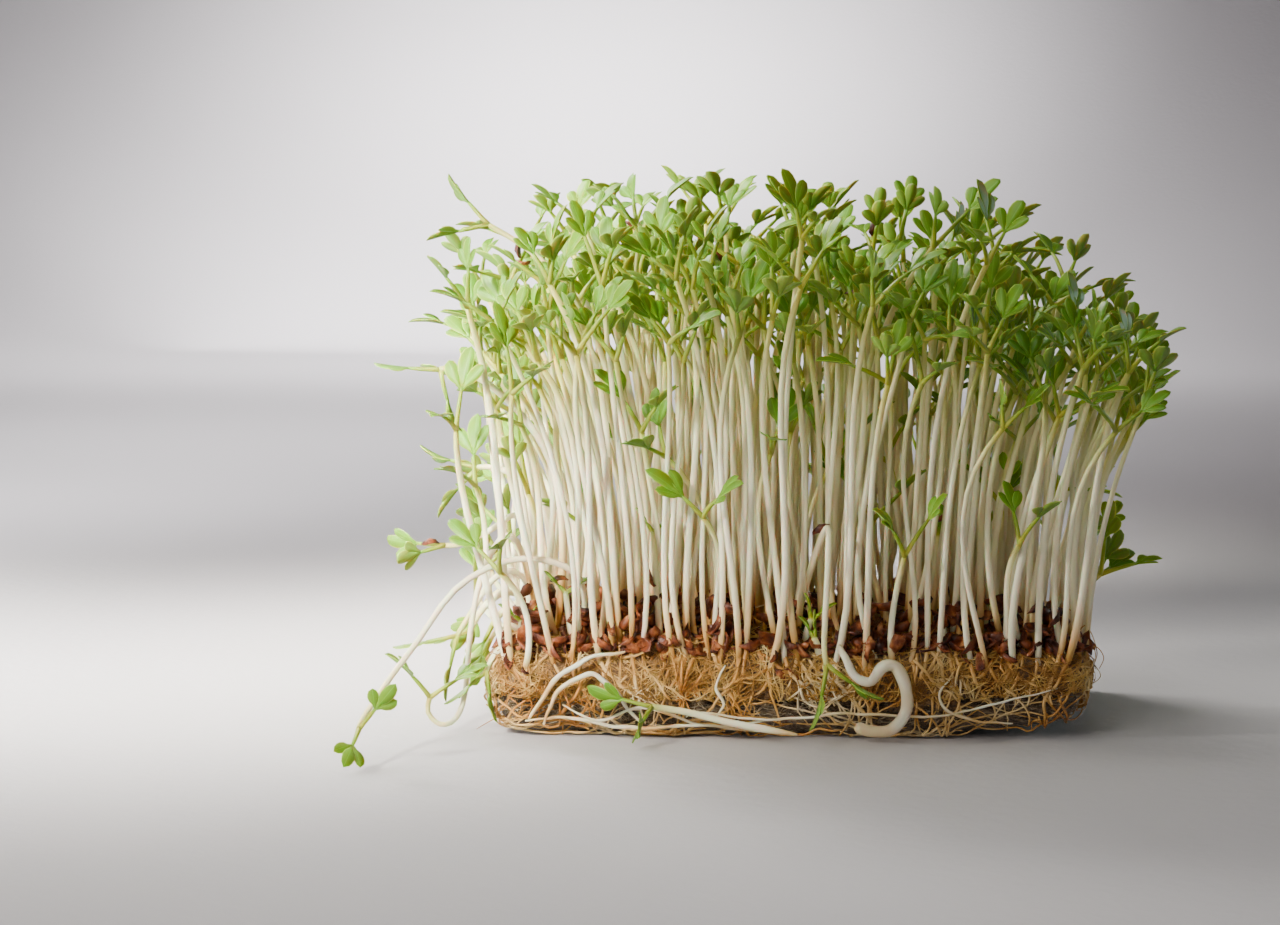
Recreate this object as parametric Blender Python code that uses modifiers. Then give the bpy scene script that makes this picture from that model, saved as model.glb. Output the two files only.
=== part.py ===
"""Garden cress seedlings growing on a rectangular fibre mat.

The mat lies flat on a surface. A felt of fine roots covers its top and the upper part of its sides,
and runs down to a loose band of roots round its foot. Seedlings stand in holes of the felt, three to
a tuft, each a pale stem that parts into two cotyledons of three leaflets. A few seedlings have
drooped over the sides. Empty seed coats stick together in clumps between the stems.
The origin is at the middle of the mat's underside, with the front at -Y and up at +Z.
"""

import math
import random

import bmesh
import bpy
from mathutils import Matrix, Vector

MM = 0.001

# The mat
MAT_LENGTH = 80 * MM
MAT_DEPTH = 50 * MM
MAT_HEIGHT = 12 * MM
MAT_ROUNDING = 4 * MM
FLAT_LEFT = -32 * MM
FLAT_RIGHT = 15 * MM
LIFT_RIGHT = 2.4 * MM
LIFT_LEFT = 0.8 * MM

# The root felt over it
GAP = 0.35 * MM
FELT_THICKNESS = 1.0 * MM
FELT_TOP = MAT_HEIGHT + GAP + FELT_THICKNESS
SKIRT_HEIGHT = 6.2 * MM
ROOT_RADIUS = 0.5 * MM
SIDE_STRANDS = 10

# The seedlings
SEED = 26
COLUMNS = 6
ROWS = 4
TUFT_PITCH_X = 12.2 * MM
TUFT_PITCH_Y = 11.8 * MM
ROW_SHIFTS = [-0.6 * MM, 2.2 * MM, -1.6 * MM, 1.0 * MM]
TUFT_SEEDLINGS = 3
CROWN_RADIUS = 2.4 * MM
SINGLE_RADIUS = 1.1 * MM
HOLE_GAP = 0.3 * MM
STEM_RADIUS = 0.85 * MM
BLADE_THICKNESS = 0.6 * MM
PETIOLE_WIDTH = 0.9 * MM
CANOPY_TOP = 77 * MM
CANOPY_PEAK_X = -14 * MM
CANOPY_FALL = 0.0038 / MM
ROOT_SPREAD = 1.35 * MM
LOW_SPREAD = 1.6 * MM
TOP_SPREAD = 4.4 * MM
LEAN_LEFT = 13 * MM
LEAN_RIGHT = 7 * MM
LEAN_BACK_AND_FRONT = 9 * MM
LEAN_SCATTER = 2.4 * MM
LATE_LEAN = 0.75
ATTEMPTS = 900
CLEARANCE = 0.35 * MM
CURL_RADIUS = 0.95 * MM

# The seed coats
CLUMPS = 7
CLUMP_REACH = 2.9 * MM
CLUMP_DISTANCE = 9 * MM
HUSKS_IN_CLUMP = 4
HUSK_HALF_SIZES = (0.75 * MM, 0.62 * MM, 1.4 * MM)
HUSK_OUT = 1.15 * MM

UP = Vector((0, 0, 1))

for stray in list(bpy.data.objects):
    bpy.data.objects.remove(stray, do_unlink=True)
for stray in list(bpy.data.collections):
    bpy.data.collections.remove(stray)

cress = bpy.data.collections.new("cress_on_mat")
cutters = bpy.data.collections.new("cutters")
bpy.context.scene.collection.children.link(cress)
bpy.context.scene.collection.children.link(cutters)


def material(name, colour, roughness):
    """A plain finish for one kind of piece."""
    made = bpy.data.materials.new(name)
    made.use_nodes = True
    shader = made.node_tree.nodes["Principled BSDF"]
    shader.inputs["Base Color"].default_value = (*colour, 1)
    shader.inputs["Roughness"].default_value = roughness
    shader.inputs["Metallic"].default_value = 0
    return made


MAT_FIBRE = material("mat_fibre", (0.20, 0.15, 0.09), 0.95)
ROOT_FELT = material("root_felt", (0.55, 0.38, 0.16), 0.9)
SEED_COAT = material("seed_coat", (0.16, 0.035, 0.015), 0.4)
SEEDLING = material("seedling", (0.42, 0.58, 0.22), 0.5)
PALE_STEM = material("pale_stem", (0.85, 0.84, 0.72), 0.5)


def add_object(name, bm, finish, collection):
    """Turn a bmesh into an object in one of the collections."""
    mesh = bpy.data.meshes.new(name)
    bmesh.ops.recalc_face_normals(bm, faces=bm.faces)
    bm.to_mesh(mesh)
    bm.free()
    made = bpy.data.objects.new(name, mesh)
    collection.objects.link(made)
    made.data.materials.append(finish)
    return made


def as_mesh(source, name, collection):
    """Freeze an object's curve or modifiers into a plain mesh object with welded caps."""
    evaluated = source.evaluated_get(bpy.context.evaluated_depsgraph_get())
    mesh = bpy.data.meshes.new_from_object(evaluated)
    bm = bmesh.new()
    bm.from_mesh(mesh)
    bmesh.ops.remove_doubles(bm, verts=bm.verts, dist=0.0001 * MM)
    finish = source.data.materials[0]
    matrix = source.matrix_world.copy()
    bpy.data.objects.remove(source, do_unlink=True)
    bpy.data.meshes.remove(mesh)
    made = add_object(name, bm, finish, collection)
    made.matrix_world = matrix
    return made


def tube(name, points, radii, profile, finish, collection):
    """A tube along points, with the cross-section of a small closed curve, as a welded mesh."""
    curve = bpy.data.curves.new(name, "CURVE")
    curve.dimensions = "3D"
    curve.bevel_mode = "OBJECT"
    curve.bevel_object = profile
    curve.use_fill_caps = True
    spline = curve.splines.new("POLY")
    spline.points.add(len(points) - 1)
    for point, place, radius in zip(spline.points, points, radii):
        point.co = (*place, 1)
        point.radius = radius
    curve.materials.append(finish)
    holder = bpy.data.objects.new(name, curve)
    collection.objects.link(holder)
    return as_mesh(holder, name, collection)


def section_curve(sides):
    """A regular polygon of radius 1, used as the cross-section of tubes."""
    curve = bpy.data.curves.new("section", "CURVE")
    curve.dimensions = "2D"
    spline = curve.splines.new("POLY")
    spline.points.add(sides - 1)
    for index, point in enumerate(spline.points):
        turn = math.tau * index / sides
        point.co = (math.cos(turn), math.sin(turn), 0, 1)
    spline.use_cyclic_u = True
    made = bpy.data.objects.new("section", curve)
    cutters.objects.link(made)
    made.hide_render = True
    made.display_type = "WIRE"
    return made


THREE_SIDED = section_curve(3)


def combine(base, pieces, operation, solver="EXACT"):
    """Join pieces to base, or cut them from it, in one Boolean that is then applied."""
    group = bpy.data.collections.new("operands")
    for piece in pieces:
        group.objects.link(piece)
    boolean = base.modifiers.new(operation.lower(), "BOOLEAN")
    boolean.operation = operation
    boolean.solver = solver
    boolean.operand_type = "COLLECTION"
    boolean.collection = group
    name = base.name
    base.name = name + "_source"
    made = as_mesh(base, name, cress)
    for piece in pieces:
        bpy.data.objects.remove(piece, do_unlink=True)
    bpy.data.collections.remove(group)
    return made


# The block that the mat and the felt both follow


def ripple(p):
    """Smooth unevenness between -1 and 1 that depends only on the place."""
    x, y, z = p.x / MM, p.y / MM, p.z / MM
    return 0.5 * math.sin(0.31 * x + 0.23 * y + 1.1) + 0.5 * math.sin(0.17 * x - 0.37 * y + 0.5 * z)


def block_point(q, offset=0.0):
    """Carry a point on the square block's surface to the rounded, uneven mat, or outside it."""
    half = Vector((MAT_LENGTH / 2, MAT_DEPTH / 2, MAT_HEIGHT / 2))
    middle = Vector((0, 0, half.z))
    local = q - middle
    core = Vector([max(r - h, min(h - r, c)) for c, h, r in zip(local, half, [MAT_ROUNDING] * 3)])
    out = (local - core).normalized()
    p = middle + core + out * (MAT_ROUNDING + offset)
    p += out * (1 - abs(out.z)) * 0.6 * MM * ripple(p)
    right = max(0.0, (p.x - FLAT_RIGHT) / (MAT_LENGTH / 2 - FLAT_RIGHT))
    left = max(0.0, (FLAT_LEFT - p.x) / (MAT_LENGTH / 2 + FLAT_LEFT))
    lift = LIFT_RIGHT * right ** 1.4 + LIFT_LEFT * left
    p.z += lift * (1 - min(1.0, max(0.0, p.z / MAT_HEIGHT)))
    return p


def square_block():
    """The mat's square block, with the edges that its rounding and its unevenness need."""
    bm = bmesh.new()
    bmesh.ops.create_cube(bm, size=1)
    bmesh.ops.scale(bm, verts=bm.verts, vec=(MAT_LENGTH, MAT_DEPTH, MAT_HEIGHT))
    bmesh.ops.translate(bm, verts=bm.verts, vec=(0, 0, MAT_HEIGHT / 2))
    flat_x = MAT_LENGTH / 2 - MAT_ROUNDING
    flat_y = MAT_DEPTH / 2 - MAT_ROUNDING
    cuts_x = [-flat_x, FLAT_LEFT, -24 * MM, -12 * MM, 0, FLAT_RIGHT, 23 * MM, 30 * MM, flat_x]
    cuts_y = [-flat_y, -11 * MM, 0, 11 * MM, flat_y]
    cuts_z = [MAT_ROUNDING, SKIRT_HEIGHT, MAT_HEIGHT - MAT_ROUNDING]
    for axis, cuts in enumerate((cuts_x, cuts_y, cuts_z)):
        for place in cuts:
            where = Vector((0, 0, 0))
            where[axis] = place
            normal = Vector((0, 0, 0))
            normal[axis] = 1
            everything = bm.verts[:] + bm.edges[:] + bm.faces[:]
            bmesh.ops.bisect_plane(bm, geom=everything, dist=0.001 * MM, plane_co=where, plane_no=normal)
    return bm


def merge_flats(bm):
    """Merge the level faces of the block's top and underside, which need no edges inside."""
    level = {face for face in bm.faces if abs(face.normal.z) > 0.9999}
    inside = [edge for edge in bm.edges if len(edge.link_faces) == 2 and level.issuperset(edge.link_faces)]
    bmesh.ops.dissolve_edges(bm, edges=inside, use_verts=True)


def fibre_mat():
    """The block of felted fibre, with its right end lifted off the surface."""
    bm = square_block()
    for vert in bm.verts:
        vert.co = block_point(vert.co)
    bm.normal_update()
    merge_flats(bm)
    return add_object("fibre_mat", bm, MAT_FIBRE, cress)


def root_felt(holes):
    """The layer of roots over the mat, its strands down the sides and the band at the foot."""
    bm = square_block()
    bare = []
    for face in bm.faces:
        middle = face.calc_center_median()
        hangs_low = middle.z > MAT_ROUNDING and ripple(middle) > 0.25
        if middle.z < SKIRT_HEIGHT and not hangs_low:
            bare.append(face)
    bmesh.ops.delete(bm, geom=bare, context="FACES")
    for vert in bm.verts:
        vert.co = block_point(vert.co, GAP)
    bm.normal_update()
    merge_flats(bm)
    felt = add_object("root_felt", bm, ROOT_FELT, cress)
    solidify = felt.modifiers.new("thickness", "SOLIDIFY")
    solidify.thickness = FELT_THICKNESS
    solidify.offset = 1
    solidify.use_even_offset = True
    felt.name = "felt_sheet"
    felt = as_mesh(felt, "root_felt", cress)
    strands = [side_strand(index, SIDE_STRANDS) for index in range(SIDE_STRANDS)]
    strands.append(foot_band())
    felt = combine(felt, strands, "UNION", "MANIFOLD")
    return combine(felt, holes, "DIFFERENCE", "MANIFOLD")


def round_the_side(turn, height):
    """A point on the square block's side at a fraction of the way round it."""
    angle = math.tau * turn
    reach_x = MAT_LENGTH / 2 / max(1e-6, abs(math.cos(angle)))
    reach_y = MAT_DEPTH / 2 / max(1e-6, abs(math.sin(angle)))
    reach = min(reach_x, reach_y)
    return Vector((reach * math.cos(angle), reach * math.sin(angle), height))


def side_strand(index, count):
    """One thick root that leaves the felt's lower edge and wanders down the side to the band."""
    points = []
    radii = []
    for step in range(5):
        height = (7.4 - 1.35 * step) * MM
        turn = (index + 0.5 + 0.16 * math.sin(2.1 * index + 1.7 * step)) / count
        offset = GAP + FELT_THICKNESS / 2 if step == 0 else GAP + 0.9 * MM
        points.append(block_point(round_the_side(turn, height), offset))
        radii.append(0.25 * MM if step == 0 else ROOT_RADIUS)
    return tube("side_strand", points, radii, THREE_SIDED, ROOT_FELT, cutters)


def walk_round():
    """Points right round the square block, closer together at its corners."""
    along = [(step - 3) / 3 * (MAT_LENGTH / 2 - MAT_ROUNDING) for step in range(7)]
    across = [(step - 1.5) / 1.5 * (MAT_DEPTH / 2 - MAT_ROUNDING) for step in range(4)]
    right, back = MAT_LENGTH / 2, MAT_DEPTH / 2
    front_edge = [(x, -back) for x in along] + [(right, -back)]
    right_edge = [(right, y) for y in across] + [(right, back)]
    turned = [(-x, -y) for x, y in front_edge + right_edge]
    return front_edge + right_edge + turned


def foot_band():
    """The band of roots that runs right round the foot of the mat."""
    curve = bpy.data.curves.new("foot_band", "CURVE")
    curve.dimensions = "3D"
    curve.bevel_mode = "OBJECT"
    curve.bevel_object = THREE_SIDED
    places = walk_round()
    spline = curve.splines.new("POLY")
    spline.points.add(len(places) - 1)
    for index, (point, (x, y)) in enumerate(zip(spline.points, places)):
        height = (2.0 + 0.3 * math.sin(1.9 * index)) * MM
        point.co = (*block_point(Vector((x, y, height)), GAP + 1.1 * MM), 1)
        point.radius = 1.3 * ROOT_RADIUS
    spline.use_cyclic_u = True
    curve.materials.append(ROOT_FELT)
    holder = bpy.data.objects.new("foot_band", curve)
    cutters.objects.link(holder)
    return as_mesh(holder, "foot_band", cutters)


def post(sides, radius, low, high, centre, finish, name):
    """An upright post with flat sides, used for root crowns and for the holes of the felt."""
    bm = bmesh.new()
    place = Matrix.Translation((centre.x, centre.y, (low + high) / 2))
    bmesh.ops.create_cone(
        bm, cap_ends=True, segments=sides, radius1=radius, radius2=radius, depth=high - low, matrix=place
    )
    return add_object(name, bm, finish, cutters)


# How a seedling grows


def bezier(a, b, c, d, t):
    """A point on a cubic curve."""
    s = 1 - t
    return a * s ** 3 + b * (3 * s * s * t) + c * (3 * s * t * t) + d * t ** 3


def stem_points(stem, count):
    """Evenly numbered points from a stem's root to where its two cotyledons part."""
    if len(stem) == 4:
        return [bezier(*stem, index / (count - 1)) for index in range(count)]
    points = []
    for index in range(count):
        along = index / (count - 1) * (len(stem) - 1)
        first = min(int(along), len(stem) - 2)
        t = along - first
        before = stem[max(0, first - 1)]
        after = stem[min(len(stem) - 1, first + 2)]
        start, end = stem[first], stem[first + 1]
        turn = (2 * before - 5 * start + 4 * end - after) * t ** 2
        settle = (3 * (start - end) + after - before) * t ** 3
        points.append(start + ((end - before) * t + turn + settle) * 0.5)
    return points


def canopy_height(x):
    """The height that the tallest leaves reach, falling off to the right."""
    return CANOPY_TOP - CANOPY_FALL * (x - CANOPY_PEAK_X) ** 2


def cotyledon_pair(base, heading, toward, openings, petioles, sizes, arches):
    """Two cotyledons that open from a heading, one toward a side, their upper faces inward."""
    side = (toward - heading * toward.dot(heading)).normalized()
    leaves = []
    for way, opening, petiole, size, arch in zip((1, -1), openings, petioles, sizes, arches):
        along = heading * math.cos(opening) + side * way * math.sin(opening)
        face = heading * math.sin(opening) - side * way * math.cos(opening)
        leaves.append({
            "base": base, "along": along, "face": face, "across": face.cross(along),
            "petiole": petiole, "size": size, "arch": arch,
        })
    return leaves


def blade_place(leaf, u, v, lift=0.0):
    """Carry a point of the flat blade to its place on the arched, slightly folded cotyledon."""
    sag = leaf["arch"] * u * u
    fold = 0.22 * abs(v)
    return leaf["base"] + leaf["along"] * u + leaf["across"] * v + leaf["face"] * (fold - sag + lift)


# The turn, length and half width of a cotyledon's three leaflets
LOBES = [
    (math.radians(38), 3.9 * MM, 0.85 * MM),
    (0.0, 5.2 * MM, 1.05 * MM),
    (math.radians(-38), 3.9 * MM, 0.85 * MM),
]


def seedling_balls(seedling):
    """Balls that fill a seedling, used to keep it clear of the others."""
    balls = [(point, STEM_RADIUS) for point in stem_points(seedling["stem"], 34)]
    for leaf in seedling["leaves"]:
        steps = max(2, round(leaf["petiole"] / MM))
        for step in range(1, steps + 1):
            balls.append((blade_place(leaf, leaf["petiole"] * step / steps, 0), 0.55 * MM))
        for turn, length, width in LOBES:
            for step in (0.25, 0.5, 0.75, 1.0):
                u = leaf["petiole"] + leaf["size"] * length * step * math.cos(turn)
                v = leaf["size"] * length * step * math.sin(turn)
                balls.append((blade_place(leaf, u, v), max(0.5 * MM, width * min(1.0, 1.5 - 0.8 * step))))
    return balls


def ball_box(balls):
    """The box round a seedling's balls."""
    low = [min(centre[i] - radius for centre, radius in balls) for i in range(3)]
    high = [max(centre[i] + radius for centre, radius in balls) for i in range(3)]
    return low, high


def boxes_apart(one, other, distance):
    """Whether two boxes are at least a distance apart along some axis."""
    (low, high), (other_low, other_high) = one, other
    return any(low[i] > other_high[i] + distance or other_low[i] > high[i] + distance for i in range(3))


def is_clear(seedling, others, clearance):
    """Whether a seedling keeps its distance from those of other tufts."""
    for other in others:
        if other["tuft"] == seedling["tuft"] or boxes_apart(seedling["box"], other["box"], clearance):
            continue
        for ball in seedling["balls"]:
            if boxes_apart(ball_box([ball]), other["box"], clearance):
                continue
            centre, radius = ball
            for other_centre, other_radius in other["balls"]:
                reach = radius + other_radius + clearance
                if (centre - other_centre).length_squared < reach * reach:
                    return False
    return True


def finish_seedling(seedling):
    """Work out a seedling's balls and its box."""
    seedling["balls"] = seedling_balls(seedling)
    seedling["box"] = ball_box(seedling["balls"])
    return seedling


def draw_seedling(rng, tuft, centre, turn):
    """One free draw of an upright seedling in a tuft, leaning away from the middle of the stand."""
    outward = Vector((math.cos(turn), math.sin(turn), 0))
    root = centre + outward * ROOT_SPREAD
    root.z = FELT_TOP - 0.6 * MM
    top = centre + outward * TOP_SPREAD
    sideways = LEAN_LEFT if centre.x < 0 else LEAN_RIGHT
    top.x += sideways * centre.x / (MAT_LENGTH / 2) + rng.gauss(0, LEAN_SCATTER)
    top.y += LEAN_BACK_AND_FRONT * centre.y / (MAT_DEPTH / 2) + rng.gauss(0, LEAN_SCATTER)
    kind = rng.random()
    if kind < 0.2:
        top.z = canopy_height(top.x) - rng.uniform(6, 9) * MM
    elif kind < 0.9:
        top.z = canopy_height(top.x) - rng.uniform(10, 22) * MM
    else:
        top.z = canopy_height(top.x) - rng.uniform(22, 38) * MM
    height = top.z - root.z
    kink = Vector((rng.uniform(-1.5, 1.5), rng.uniform(-1.5, 1.5), 0)) * MM
    lean = Vector((top.x - root.x, top.y - root.y, 0))
    bow = Vector((rng.gauss(0, 1.6), rng.gauss(0, 1.6), 0)) * MM
    low = root + kink + outward * LOW_SPREAD + UP * height * 0.3
    high = top - lean * LATE_LEAN + bow - UP * height * 0.32
    growing = (top - high).normalized()
    heading = (growing + UP * rng.uniform(0.2, 1.2)).normalized()
    azimuth = rng.uniform(0, math.tau)
    leaves = cotyledon_pair(
        top - growing * 0.5 * MM, heading, Vector((math.cos(azimuth), math.sin(azimuth), 0)),
        [math.radians(rng.uniform(28, 58)) for side in range(2)],
        [rng.uniform(3.4, 6.8) * MM for side in range(2)],
        [rng.uniform(0.85, 1.1) for side in range(2)],
        [rng.uniform(0.004, 0.03) / MM for side in range(2)],
    )
    return finish_seedling({"tuft": tuft, "stem": [root, low, high, top], "leaves": leaves})


def plan_tufts(rng, placed):
    """Grow three seedlings in every tuft, drawing each again until it is clear of the rest.

    The front left corner has no tuft, because three of the drooping seedlings root there.
    """
    centres = []
    for row in range(ROWS):
        for column in range(COLUMNS):
            x = (column - (COLUMNS - 1) / 2) * TUFT_PITCH_X + rng.uniform(-0.5, 0.5) * MM
            y = (row - (ROWS - 1) / 2) * TUFT_PITCH_Y + rng.uniform(-0.5, 0.5) * MM
            x += ROW_SHIFTS[row]
            if row > 0 or column > 0:
                centres.append(Vector((x, y, 0)))
    tufts = []
    for number, centre in enumerate(centres):
        name = f"tuft_{number + 1:02d}"
        spin = rng.uniform(0, math.tau)
        grown = []
        for member in range(TUFT_SEEDLINGS):
            turn = spin + math.tau * member / TUFT_SEEDLINGS
            for attempt in range(ATTEMPTS):
                candidate = draw_seedling(rng, name, centre, turn)
                if is_clear(candidate, placed, CLEARANCE):
                    placed.append(candidate)
                    grown.append(candidate)
                    break
        tufts.append({"name": name, "centre": centre, "seedlings": grown})
    return tufts


# The loose seedlings, each along points in millimetres, with the side that its first cotyledon
# opens toward, and the opening of both in degrees


LOOSE = {
    "drooping_seedling_long": {
        "path": [(-29.3, -18.9, 12.8), (-28.2, -20.6, 18.3), (-29.6, -22.6, 22.5), (-34.1, -25.0, 24.5),
                 (-39.4, -27.5, 24.3), (-45.3, -31.0, 21.0), (-49.9, -34.3, 14.6), (-53.0, -38.6, 10.4),
                 (-55.0, -44.0, 7.4), (-56.0, -48.6, 5.6), (-56.0, -51.4, 4.9)],
        "toward": (0.7, 0, 1), "openings": (72, 6),
    },
    "drooping_seedling_left": {
        "path": [(-34.4, -11.6, 12.8), (-36.2, -12.6, 18.7), (-38.6, -13.8, 21.6), (-41.6, -15.0, 20.4),
                 (-44.4, -16.0, 16.1), (-46.6, -16.6, 12.4)],
        "toward": (-1, 0, 0.6), "openings": (45, 15),
    },
    "curled_seedling_left": {
        "path": [(-34.4, -19.2, 12.8), (-35.9, -20.2, 21.0), (-37.6, -21.3, 26.6), (-39.8, -22.2, 27.0),
                 (-42.4, -22.8, 21.9), (-43.9, -23.2, 14.3), (-44.6, -23.6, 6.0), (-45.9, -24.2, 2.3),
                 (-48.0, -24.8, 1.6), (-49.6, -25.6, 3.4), (-49.2, -26.2, 6.0)],
        "toward": (1, 0.3, 0.3), "openings": (50, 40),
    },
    "hanging_seedling_left": {
        "path": [(-34.4, -1.9, 12.8), (-37.0, -4.4, 18.6), (-40.5, -6.2, 19.8), (-43.0, -7.2, 16.4)],
        "toward": (0, 1, 0), "openings": (45, 12),
    },
    "level_seedling_left": {
        "path": [(-34.4, 10.0, 12.8), (-36.9, 8.6, 26.7), (-39.9, 8.0, 32.9), (-43.8, 8.0, 34.4),
                 (-46.0, 8.0, 34.3)],
        "toward": (0, 0.3, 1), "openings": (15, 42),
    },
    "level_seedling_back": {
        "path": [(-34.4, 13.6, 12.8), (-37.4, 15.6, 24.6), (-40.4, 16.6, 29.7), (-42.6, 16.8, 31.0)],
        "toward": (0, 1, 0), "openings": (45, 30),
    },
    "capped_seedling_left": {
        "path": [(-34.4, 1.7, 12.8), (-36.6, -5.6, 24.6), (-38.6, -8.6, 29.0), (-42.3, -10.4, 27.0),
                 (-46.4, -11.4, 25.2), (-49.0, -12.0, 25.0)],
        "toward": (0, 1, 0.2), "openings": (28, 28),
    },
    "arching_seedling_left": {
        "path": [(-32.4, -15.6, 12.8), (-31.4, -18.0, 26.0), (-32.6, -20.2, 36.5), (-36.3, -21.8, 43.5),
                 (-41.0, -22.4, 48.2), (-45.4, -22.8, 50.6), (-48.4, -23.0, 50.4)],
        "toward": (0, 0, 1), "openings": (4, 96),
    },
    "tall_seedling_left": {
        "path": [(-20.9, -11.8, 12.8), (-22.3, -12.2, 34.5), (-26.5, -12.6, 55.5), (-34.8, -13.0, 65.3),
                 (-42.4, -13.5, 70.4)],
        "toward": (0, 0.3, 1), "openings": (12, 44),
    },
    "tall_seedling_middle": {
        "path": [(-6.9, -11.8, 12.8), (-9.1, -11.4, 38.3), (-12.7, -11.0, 55.3), (-17.6, -10.6, 65.8),
                 (-21.8, -10.4, 70.6)],
        "toward": (0.6, 1, 0.6), "openings": (40, 16),
    },
    "leaning_seedling_right": {
        "path": [(34.2, -11.8, 12.8), (34.2, -12.0, 26.0), (35.8, -12.0, 39.6), (39.0, -12.0, 47.4),
                 (42.6, -12.0, 53.0)],
        "toward": (-1, 0, 0.5), "openings": (30, 55),
    },
    "small_seedling_right": {
        "path": [(34.2, 0.4, 12.8), (37.9, 0.8, 22.0), (37.0, 1.0, 29.6), (38.6, 1.0, 32.6)],
        "toward": (1, 0, 0), "openings": (60, 30),
    },
    "hanging_seedling_front": {
        "path": [(0.3, -19.0, 12.8), (3.4, -23.0, 24.6), (5.2, -25.8, 29.1), (5.3, -28.4, 25.0),
                 (4.9, -29.8, 16.9), (4.8, -30.7, 13.0), (5.2, -31.4, 10.6)],
        "toward": (1, 0, 0), "openings": (42, 15),
    },
}

# Two bare pieces that lie before the mat's front: a stem that has curled right round, and a
# fallen seedling

CURLED_STEM = [
    (7.6, -28.6, 12.2), (8.9, -28.7, 9.4), (11.0, -28.9, 8.4), (12.8, -29.0, 10.4), (14.6, -29.0, 10.4),
    (15.9, -29.0, 7.9), (16.0, -29.0, 4.9), (14.4, -29.0, 2.2), (11.6, -29.2, 1.6), (9.2, -29.6, 2.6),
]
FALLEN = {
    "path": [(1.2, -31.8, 1.6), (-3.0, -31.2, 2.2), (-8.0, -30.6, 3.0), (-14.0, -30.4, 4.4),
             (-19.0, -30.8, 5.2)],
    "toward": (0, -0.93, -0.35), "openings": (72, 8),
}


def loose_seedling(name, path, toward, openings):
    """A seedling along a route chosen by hand."""
    stem = [Vector(place) * MM for place in path]
    heading = (stem[-1] - stem[-2]).normalized()
    opened = [math.radians(opening) for opening in openings]
    base = stem[-1] - heading * 0.5 * MM
    leaves = cotyledon_pair(
        base, heading, Vector(toward), opened, [4.2 * MM] * 2, [0.95] * 2, [0.012 / MM] * 2
    )
    return finish_seedling({"tuft": name, "stem": stem, "leaves": leaves})


# The solids of a seedling


def stem_solid(seedling, count):
    """The stem, drawn in at its top so that it ends inside the plate of the cotyledons."""
    points = stem_points(seedling["stem"], count)
    points[-1] = seedling["leaves"][0]["base"]
    radii = [STEM_RADIUS * (1 - 0.1 * index / (count - 1)) for index in range(count)]
    radii[-1] = 0.25 * MM
    return tube("stem", points, radii, THREE_SIDED, PALE_STEM, cutters)


def blade_outline(leaf):
    """The outline of a cotyledon laid flat, from one side of its petiole's end round to the other."""
    half = PETIOLE_WIDTH / 2
    outline = [(leaf["petiole"], half)]
    for number, (turn, length, width) in enumerate(LOBES):
        length *= leaf["size"]
        width *= leaf["size"]
        if number > 0:
            outline.append((leaf["petiole"] + 1.25 * MM, half * (3 - 2 * number)))
        for u, v in [(0.62 * length, width), (length, 0.0), (0.62 * length, -width)]:
            outline.append((
                leaf["petiole"] + u * math.cos(turn) - v * math.sin(turn),
                u * math.sin(turn) + v * math.cos(turn),
            ))
    outline.append((leaf["petiole"], -half))
    return outline


def head_solid(leaves):
    """Both cotyledons cut from one thin plate, with the same triangles on both faces, then bent."""
    first, second = leaves
    half = PETIOLE_WIDTH / 2
    crease = (first["face"] + second["face"]) / max(0.4, 1 + first["face"].dot(second["face"]))
    across = (first["across"] - second["across"]).normalized()
    bm = bmesh.new()
    shared = [bm.verts.new((0, half, 0)), bm.verts.new((0, -half, 0))]
    one_side = [bm.verts.new((u, v, 0)) for u, v in blade_outline(first)]
    other_side = [bm.verts.new((-u, -v, 0)) for u, v in blade_outline(second)]
    bm.faces.new([shared[0]] + one_side + [shared[1]])
    bm.faces.new([shared[1]] + other_side + [shared[0]])
    bmesh.ops.triangulate(bm, faces=bm.faces[:])
    grown = bmesh.ops.extrude_face_region(bm, geom=bm.faces[:])
    upper = [item for item in grown["geom"] if isinstance(item, bmesh.types.BMVert)]
    bmesh.ops.translate(bm, vec=(0, 0, BLADE_THICKNESS), verts=upper)
    for vert in bm.verts:
        u, v, lift = vert.co.x, vert.co.y, vert.co.z - BLADE_THICKNESS / 2
        if abs(u) < 0.01 * MM:
            vert.co = first["base"] + across * v + crease * lift
        elif u > 0:
            vert.co = blade_place(first, u, v, lift)
        else:
            vert.co = blade_place(second, -u, -v, lift)
    bmesh.ops.triangulate(bm, faces=bm.faces[:])
    return add_object("head", bm, SEEDLING, cutters)


def seedling_solids(seedling, count):
    """The stem of one seedling, and the head that its two cotyledons make."""
    return [stem_solid(seedling, count), head_solid(seedling["leaves"])]


def tuft_solid(tuft):
    """Three seedlings on the crown of roots that they share."""
    low = MAT_HEIGHT + GAP
    crown = post(6, CROWN_RADIUS, low, FELT_TOP + 0.5 * MM, tuft["centre"], SEEDLING, tuft["name"])
    pieces = []
    for seedling in tuft["seedlings"]:
        pieces.extend(seedling_solids(seedling, 5))
    return combine(crown, pieces, "UNION")


def loose_solid(seedling, rooted):
    """One seedling of its own, on a small crown where it is rooted."""
    pieces = seedling_solids(seedling, len(seedling["stem"]) + 3)
    if rooted:
        foot = seedling["stem"][0]
        low = MAT_HEIGHT + GAP
        base = post(4, SINGLE_RADIUS, low, FELT_TOP + 0.4 * MM, foot, SEEDLING, seedling["tuft"])
        return combine(base, pieces, "UNION")
    base = pieces.pop(0)
    base.name = seedling["tuft"]
    base.data.materials[0] = SEEDLING
    return combine(base, pieces, "UNION")


# The empty seed coats


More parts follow.
